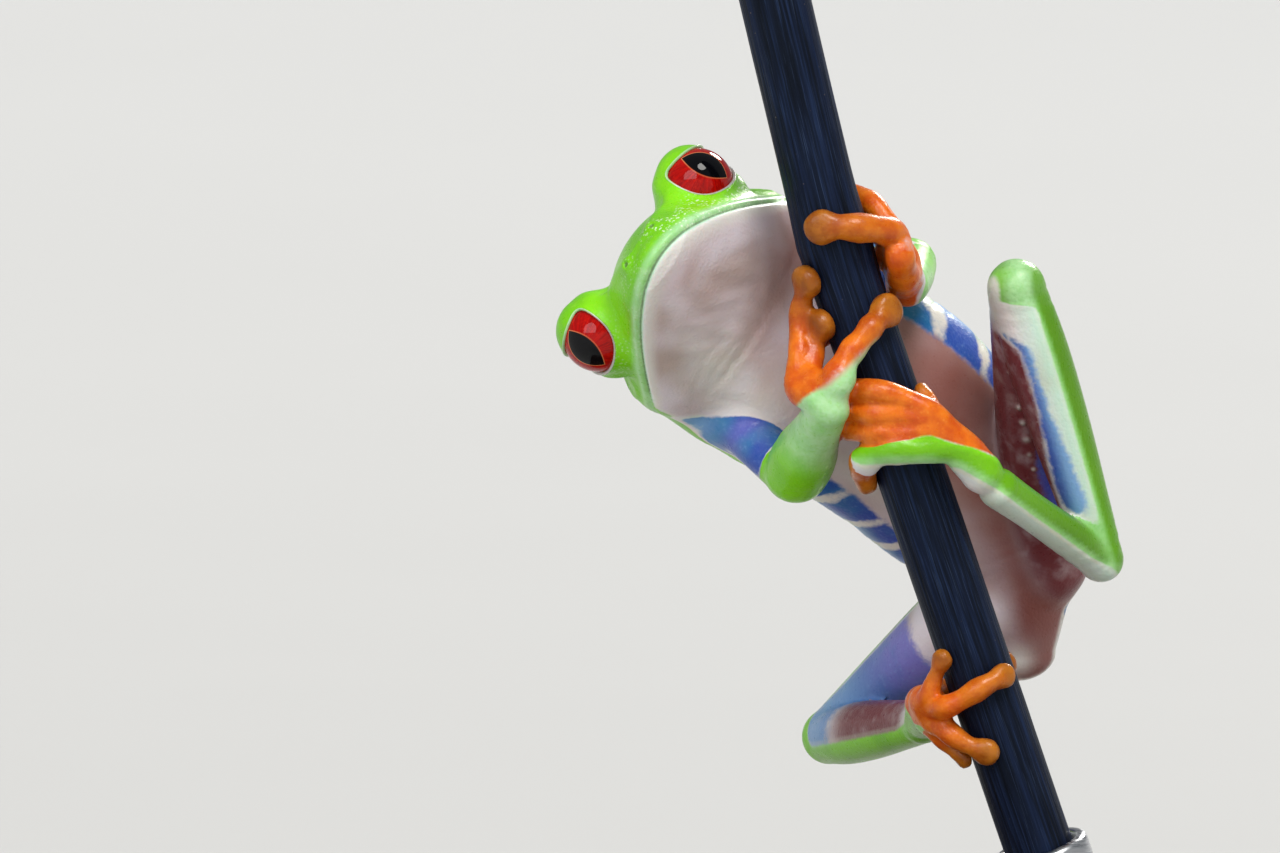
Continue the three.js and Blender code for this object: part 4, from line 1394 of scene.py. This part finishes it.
def eye_material(settings):
    """A red iris with darker spokes, a fine gold line round the slit of a black pupil, and a wet gloss."""
    p = Paint("wet_iris")
    fall, angle, inner = p.marks("iris_marks")
    spoke_place = p.node("ShaderNodeAttribute", attribute_name="iris_place").outputs["Vector"]
    spokes = p.noise(5.0, 4, p.stretched((1, 1, 0.22), spoke_place))
    fleck = p.noise(3800, 3)
    red = p.mix(p.ease(spokes, 0.3, 0.7), color(settings.iris_dark), color(settings.iris))
    red = p.mix(p.times(p.ease(fleck, 0.52, 0.72), 0.45), red, hue("scarlet"))
    red = p.mix(p.ease(angle, 0.95, 1.5), red, hue("iris_edge"))
    gold = p.times(p.ease(fall, -0.13, -0.05), p.ease(inner, -0.5, 0.12, 0.25, 0.9))
    surface = p.mix(gold, red, color(settings.gold))
    surface = p.mix(p.ease(fall, -0.035, 0.035), surface, hue("pupil_black"))
    normal = p.bump(spokes, 0.00002, 0.25)
    return p.finish(surface, 0.5, normal, Coat_Weight=1.0, Coat_Roughness=0.02, Coat_IOR=1.31,
                    Specular_IOR_Level=0.0)


# ---------------------------------------------------------------- perch


BARK_SCALE = 60  # millimetres of height to one unit of the bark's pattern


def perch_surface(ribs, levels=240, sides=144):
    """Rings of bark carried up the stem's line, fluted by fine ribs that wander, and two cut ends
    whose rings close in to their middles."""
    heights = np.linspace(STEM_BOTTOM, STEM_TOP, levels)
    turn = np.linspace(0, 2 * np.pi, sides, endpoint=False)[None]
    _, front, right = stem_frame(heights[:, None])
    wave = turn + 0.12 * np.sin(heights[:, None] * 0.11)
    flute = np.sin(ribs * wave) * 0.5 + np.sin(2.7 * ribs * wave + heights[:, None] * 0.21) * 0.3
    flute = flute * (0.55 + 0.45 * np.sin(heights[:, None] * 0.37 + 3 * turn))
    swell = 0.2 * hill(heights[:, None], STEM_NODE, 3) + 0.05 * hill(heights[:, None], STEM_NODE, 0.5)
    radius = STEM_RADIUS - 0.035 + 0.03 * flute + swell
    across = front * np.cos(turn)[..., None] + right * np.sin(turn)[..., None]
    body = stem_axis(heights)[:, None] + radius[..., None] * across
    closing = vec(0.97, 0.9, 0.6, 0.3)[:, None, None]
    bottom, top = stem_axis(STEM_BOTTOM), stem_axis(STEM_TOP)
    first = bottom + closing[::-1] * (body[:1] - bottom)
    last = top + closing * (body[-1:] - top)
    points, faces = closed_grid(np.concatenate([first, body, last]), [bottom, top])
    rings = np.concatenate([closing[::-1, 0, 0], np.ones(levels), closing[:, 0, 0]])
    cut = np.concatenate([np.repeat(1 - rings, sides), [1.0, 1.0]])
    ends = np.full(len(closing), STEM_BOTTOM), np.full(len(closing), STEM_TOP)
    height = np.concatenate([ends[0], heights, ends[1]])[:, None] + 0 * turn
    place = np.stack([np.cos(turn) + 0 * height, np.sin(turn) + 0 * height, height / BARK_SCALE], -1)
    tips = [[0, 0, STEM_BOTTOM / BARK_SCALE], [0, 0, STEM_TOP / BARK_SCALE]]
    return points, faces, {"cut": cut, "bark_place": np.vstack([place.reshape(-1, 3), tips])}


def perch_material(settings):
    """Blue-black bark with patches of painted sheen, fine pale fibres along it, and pale rings where it is
    cut.
    """
    p = Paint("dark_bark")
    place = p.node("ShaderNodeAttribute", attribute_name="bark_place").outputs["Vector"]
    fibre = p.noise(13, 5, p.stretched((1, 1, 0.5), place), 0.3)
    hair = p.noise(42, 3, p.stretched((1, 1, 0.35), place), 0.2)
    patch = p.noise(3.2, 3, place, 0.5)
    fleck = p.cells(1500)
    # Patches of blue sheen over the darkest bark: a painted sheen of light.
    tone = p.mix(p.ease(patch, 0.35, 0.68), color(settings.bark), color(settings.sheen))
    tone = p.mix(p.times(p.ease(fibre, 0.52, 0.7), 0.5), tone, hue("blue_fibre"))
    tone = p.mix(p.times(p.ease(hair, 0.58, 0.72), 0.4), tone, hue("pale_hair"))
    tone = p.mix(p.times(p.ease(fibre, 0.48, 0.32), 0.8), tone, hue("black_groove"))
    tone = p.mix(p.times(p.ease(fleck, 0.12, 0.06), p.ease(patch, 0.55, 0.7)), tone, hue("bark_fleck"))
    cut = p.node("ShaderNodeAttribute", attribute_name="cut").outputs["Fac"]
    rings = p.math("SINE", p.times(p.plus(cut, p.times(patch, 0.15)), 55.0))
    wood = p.mix(p.ease(rings, -0.6, 0.9), hue("cut_wood"), hue("pale_cut_wood"))
    tone = p.mix(p.ease(cut, 0.015, 0.06), tone, wood)
    normal = p.bump(p.plus(fibre, p.times(hair, 0.4)), 0.00009, 0.7)
    return p.finish(tone, p.ease(fibre, 0.3, 0.7, 0.42, 0.62), normal, IOR=1.34, Specular_IOR_Level=0.35,
                    Specular_Tint=(0.5, 0.68, 1.0, 1.0))


# ---------------------------------------------------------------- stand

BASE_CORNER, LEAST_CORNER = 9.0, 0.6  # radius of the base's corners, and the least that it shrinks to
BASE_FOOT, BASE_TOP = 0.9, 1.4  # radius of the base's lower and upper edge
BASE_HEIGHT, ROD_RADIUS = 7.0, 1.55


def base_surface(sides=192):
    """A rounded rectangle carried up a profile with a foot, a straight wall and a rounded top edge."""
    low, high = (np.array(corner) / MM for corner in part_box("stand_base"))
    height = high[2]
    turn = np.linspace(0, 2 * np.pi, sides, endpoint=False)
    bend = np.linspace(0, np.pi / 2, 7)
    inset = np.concatenate([[1.2], BASE_FOOT - BASE_FOOT * np.sin(bend), BASE_TOP - BASE_TOP * np.cos(bend),
                            [6, 16, 26]])
    level = np.concatenate([[low[2]], BASE_FOOT - BASE_FOOT * np.cos(bend),
                            height - BASE_TOP + BASE_TOP * np.sin(bend), [height] * 3])
    ring = np.stack([np.cos(turn), np.sin(turn)], -1)
    radius = np.maximum(BASE_CORNER - inset, LEAST_CORNER)[:, None, None]
    shrink = np.maximum(inset - (BASE_CORNER - LEAST_CORNER), 0)[:, None]
    sign = np.sign(np.round(ring, 9))
    core = np.stack([sign[:, i] * np.maximum(high[i] - BASE_CORNER - shrink, 0.2) for i in (0, 1)], -1)
    grid = np.concatenate([core + radius * ring[None], level[:, None, None] * np.ones((1, sides, 1))], -1)
    return closed_grid(grid, [vec(0, 0, low[2]), vec(0, 0, height)])


def turned_surface(start, end, profile, sides=72):
    """A profile of (distance along, radius) turned round the line from start to end."""
    along = unit(end - start)
    side = unit(np.cross(along, vec(0, 1, 0)))
    other = np.cross(along, side)
    turn = np.linspace(0, 2 * np.pi, sides, endpoint=False)[:, None]
    ring = np.cos(turn) * side + np.sin(turn) * other
    far, radius = np.array(profile, float).T
    grid = start + far[:, None, None] * along + radius[:, None, None] * ring
    return closed_grid(grid, [start + far[0] * along, start + far[-1] * along])


def wood_material(settings):
    """Dark varnished hardwood with long grain and pores."""
    p = Paint("varnished_wood")
    along = p.stretched((0.09, 1.0, 1.0))
    grain = p.noise(330, 5, along, 0.6)
    pores = p.noise(2600, 3, p.stretched((0.03, 1.0, 1.0)))
    tone = p.mix(p.ease(grain, 0.35, 0.65), color(settings.wood_dark), color(settings.wood))
    tone = p.mix(p.times(p.ease(pores, 0.55, 0.7), 0.6), tone, hue("wood_pore"))
    normal = p.bump(pores, 0.00003, 0.5)
    return p.finish(tone, p.ease(grain, 0.3, 0.7, 0.28, 0.4), normal, Coat_Weight=0.4, Coat_Roughness=0.12)


def steel_material():
    """Brushed steel, its fine lines running round the rod."""
    p = Paint("brushed_steel")
    lines = p.noise(5200, 3, p.stretched((0.05, 0.05, 1.0)))
    tone = p.mix(p.ease(lines, 0.3, 0.7), hue("dark_steel"), hue("bright_steel"))
    normal = p.bump(lines, 0.00001, 0.4)
    return p.finish(tone, p.ease(lines, 0.3, 0.7, 0.22, 0.36), normal, Metallic=1.0)


# ---------------------------------------------------------------- settings


class FrogSkinSettings(PropertyGroup):
    voxel: FloatProperty(name="Voxel", description="Size of the skin's quads, in millimetres",
                         default=0.36, min=0.2)
    rim: FloatProperty(name="Lid rim", description="Radius of the lids' edge, in millimetres",
                       default=0.068)
    green: FloatVectorProperty(name="Green", description="Lime of the head and limbs", subtype="COLOR",
                               default=(0.23, 0.68, 0.008))
    leaf: FloatVectorProperty(name="Leaf green", description="Deeper green of the back", subtype="COLOR",
                              default=(0.17, 0.55, 0.006))
    translucence: FloatProperty(name="Translucence", description="How far light soaks in",
                                default=0.18, max=1)
    wetness: FloatProperty(name="Wetness", description="Strength of the moist gloss", default=0.22, max=1)


class FrogEyeSettings(PropertyGroup):
    iris: FloatVectorProperty(name="Iris", description="Bright red of the iris", subtype="COLOR",
                              default=(0.46, 0.004, 0.002))
    iris_dark: FloatVectorProperty(name="Iris shade", description="Dark red spokes", subtype="COLOR",
                                   default=(0.26, 0.002, 0.002))
    gold: FloatVectorProperty(name="Gold line", description="Fine line round the pupil", subtype="COLOR",
                              default=(0.75, 0.26, 0.1))


class PerchSettings(PropertyGroup):
    ribs: IntProperty(name="Ribs", description="Fine ribs round the stem", default=23, min=3)
    bark: FloatVectorProperty(name="Bark", description="Darkest bark", subtype="COLOR",
                              default=(0.0025, 0.0035, 0.008))
    # The blue laid in patches over the bark: a painted sheen of light.
    sheen: FloatVectorProperty(name="Sheen", description="Blue bark", subtype="COLOR",
                               default=(0.006, 0.011, 0.032))


class StandSettings(PropertyGroup):
    wood: FloatVectorProperty(name="Wood", description="Lighter grain", subtype="COLOR",
                              default=(0.13, 0.06, 0.028))
    wood_dark: FloatVectorProperty(name="Dark wood", description="Darker grain", subtype="COLOR",
                                   default=(0.045, 0.02, 0.01))


class StageSettings(PropertyGroup):
    lens: FloatProperty(name="Lens", description="Focal length of the camera", default=135, unit="CAMERA")
    away: FloatProperty(name="Camera distance", description="From the stem's front to the camera",
                        default=0.4, unit="LENGTH")
    floor: FloatVectorProperty(name="Floor", description="Colour of the floor", subtype="COLOR",
                               default=(0.52, 0.52, 0.51))
    key: FloatProperty(name="Key light", description="Strength of the main light", default=2.5)


# ---------------------------------------------------------------- stage

FLAT_RADIUS, FLOOR_REACH, FLOOR_RISE = 300, 2700, 650
CAMERA_X, CAMERA_Z, STEM_FRONT = -0.02167, 0.05196, -0.01  # metres
# Each light's place, the width of its disc in degrees, its share of the key's strength, and its tint.
LIGHTS = (
    ("key", (0.2, -0.65, 0.85), 26, 1.0, (1.0, 0.98, 0.95)),
    ("fill", (-0.5, -1.0, 0.4), 40, 0.6, (0.92, 0.95, 1.0)),
    ("rim", (0.45, 0.85, 0.7), 16, 0.8, (1.0, 0.97, 0.93)),
)
SKY, SKY_STRENGTH = (0.9, 0.95, 1.0, 1), 0.25


# ---------------------------------------------------------------- operators

FLESH = [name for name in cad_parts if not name.startswith(("eye_", "stand_", "perch_"))]


class FROG_OT_skin(Operator):
    """Make the one skin that stands for all the nodes of flesh"""

    bl_idname = "frog.skin"
    bl_label = "Skin"

    def execute(self, context):
        settings = context.scene.frog_skin
        points, quads, marks = skin_surface(settings.voxel, settings.rim)
        layers = {f"marks_{letter}": marks[:, i:i + 3] for letter, i in zip("abcd", (0, 3, 6, 9))}
        new_piece("frog_skin", points, quads, FLESH, skin_material(settings), layers)
        return {"FINISHED"}


class FROG_OT_eyes(Operator):
    """Make the two red eyes with their slit pupils"""

    bl_idname = "frog.eyes"
    bl_label = "Eyes"

    def execute(self, context):
        material = eye_material(context.scene.frog_eyes)
        for side, name in ((1, "left"), (-1, "right")):
            points, faces, marks = eye_surface(side)
            new_piece(f"frog_eye_{name}", points, faces, [f"eye_{name}"], material, marks)
        return {"FINISHED"}


class FROG_OT_perch(Operator):
    """Make the cut length of dark stem"""

    bl_idname = "frog.perch"
    bl_label = "Perch"

    def execute(self, context):
        settings = context.scene.frog_perch
        points, faces, marks = perch_surface(settings.ribs)
        new_piece("perch_bark", points, faces, ["perch_stem"], perch_material(settings), marks)
        return {"FINISHED"}


class FROG_OT_stand(Operator):
    """Make the stand's wooden base, its rod and the ferrule that holds the stem"""

    bl_idname = "frog.stand"
    bl_label = "Stand"

    def execute(self, context):
        points, faces = base_surface()
        new_piece("stand_plinth", points, faces, ["stand_base"],
                  wood_material(context.scene.frog_stand))
        steel = steel_material()
        foot, tip = stem_axis(0.0), stem_axis(STEM_BOTTOM - 1.5)
        reach = np.linalg.norm(tip - foot)
        start = BASE_HEIGHT / unit(tip - foot)[2]
        profile = [(start, ROD_RADIUS + 0.05), (start + 0.3, ROD_RADIUS), (reach, ROD_RADIUS)]
        points, faces = turned_surface(foot, tip, profile)
        new_piece("stand_rod_turned", points, faces, ["stand_rod"], steel)
        low, high = stem_axis(STEM_BOTTOM - 1.2), stem_axis(STEM_BOTTOM + 3.0)
        long = np.linalg.norm(high - low)
        profile = [(0, 3.6), (0.12, 3.95), (0.4, 4.15), (0.9, 4.2), (long - 0.5, 4.2), (long - 0.2, 4.1),
                   (long, 3.85), (long, 3.45), (long - 0.3, 3.2), (1.0, 3.2)]
        points, faces = turned_surface(low, high, profile)
        new_piece("stand_ferrule_turned", points, faces, ["stand_ferrule"], steel)
        return {"FINISHED"}


class FROG_OT_stage(Operator):
    """Make the pale floor, the soft lights and the camera"""

    bl_idname = "frog.stage"
    bl_label = "Stage"

    def execute(self, context):
        settings = context.scene.frog_stage
        scene = context.scene
        # A flat round floor that rises smoothly towards its far edge, so that no line shows behind.
        turn = np.linspace(0, 2 * np.pi, 96, endpoint=False)[None]
        rise = np.linspace(0, 1, 24)[:, None]
        radius = np.concatenate([[[50.0]], FLAT_RADIUS + FLOOR_REACH * rise])
        level = np.concatenate([[[0.0]], FLOOR_RISE * rise**2.4])
        grid = np.stack([radius * np.cos(turn), radius * np.sin(turn), level + 0 * turn], -1)
        points, faces = closed_grid(grid, [vec(0, 0, 0), vec(0, 0, 0)])
        mesh = bpy.data.meshes.new("floor")
        mesh.from_pydata((points[:-1] * MM).tolist(), [], faces[:-grid.shape[1]])
        mesh.flip_normals()
        mesh.shade_smooth()
        p = Paint("pale_floor")
        tone = p.mix(p.noise(4, 2), color(settings.floor), color([0.97 * v for v in settings.floor]))
        mesh.materials.append(p.finish(tone, 0.9))
        floor = bpy.data.objects.new("floor", mesh)
        scene.collection.objects.link(floor)

        camera = bpy.data.objects.new("camera", bpy.data.cameras.new("camera"))
        scene.collection.objects.link(camera)
        camera.data.lens = settings.lens
        camera.data.sensor_width = 36
        camera.data.clip_start, camera.data.clip_end = 0.01, 20
        camera.location = (CAMERA_X, STEM_FRONT - settings.away, CAMERA_Z)
        camera.rotation_euler = (np.pi / 2, 0, 0)
        scene.camera = camera

        for name, place, wide, power, tint in LIGHTS:
            light = bpy.data.lights.new(name, "SUN")
            light.angle = np.radians(wide)
            light.energy = power * settings.key
            light.color = tint
            lamp = bpy.data.objects.new(name, light)
            scene.collection.objects.link(lamp)
            lamp.location = place
            lamp.rotation_euler = direction_euler(-vec(*place))
        world = bpy.data.worlds.new("studio")
        world.use_nodes = True
        background = world.node_tree.nodes["Background"]
        background.inputs["Color"].default_value = SKY
        background.inputs["Strength"].default_value = SKY_STRENGTH
        scene.world = world
        scene.view_settings.view_transform = "Standard"
        return {"FINISHED"}


def direction_euler(way):
    """The turn that points a lamp's -Z along a way."""
    return Vector(way).to_track_quat("-Z", "Y").to_euler()


class FROG_PT_panel(Panel):
    """Lists the builders of the frog's pieces"""

    bl_idname = "FROG_PT_panel"
    bl_label = "Red-eyed tree frog"
    bl_space_type = "VIEW_3D"
    bl_region_type = "UI"
    bl_category = "Frog"

    def draw(self, context):
        for operator in OPERATORS:
            self.layout.operator(operator.bl_idname)
        for name in SETTINGS:
            group = getattr(context.scene, name)
            box = self.layout.box()
            for key in group.bl_rna.properties.keys()[2:]:
                box.prop(group, key)


OPERATORS = (FROG_OT_skin, FROG_OT_eyes, FROG_OT_perch, FROG_OT_stand, FROG_OT_stage)
SETTINGS = {
    "frog_skin": FrogSkinSettings,
    "frog_eyes": FrogEyeSettings,
    "frog_perch": PerchSettings,
    "frog_stand": StandSettings,
    "frog_stage": StageSettings,
}


def register():
    """Adds the settings, operators and panel."""
    for group in (*SETTINGS.values(), *OPERATORS, FROG_PT_panel):
        bpy.utils.register_class(group)
    for name, group in SETTINGS.items():
        setattr(bpy.types.Scene, name, PointerProperty(type=group))


def unregister():
    """Takes them away again."""
    for name in SETTINGS:
        delattr(bpy.types.Scene, name)
    for group in reversed((*SETTINGS.values(), *OPERATORS, FROG_PT_panel)):
        bpy.utils.unregister_class(group)


def main():
    """Builds every piece."""
    register()
    bpy.ops.frog.skin()
    bpy.ops.frog.eyes()
    bpy.ops.frog.perch()
    bpy.ops.frog.stand()
    bpy.ops.frog.stage()


if __name__ == "__main__":
    main()
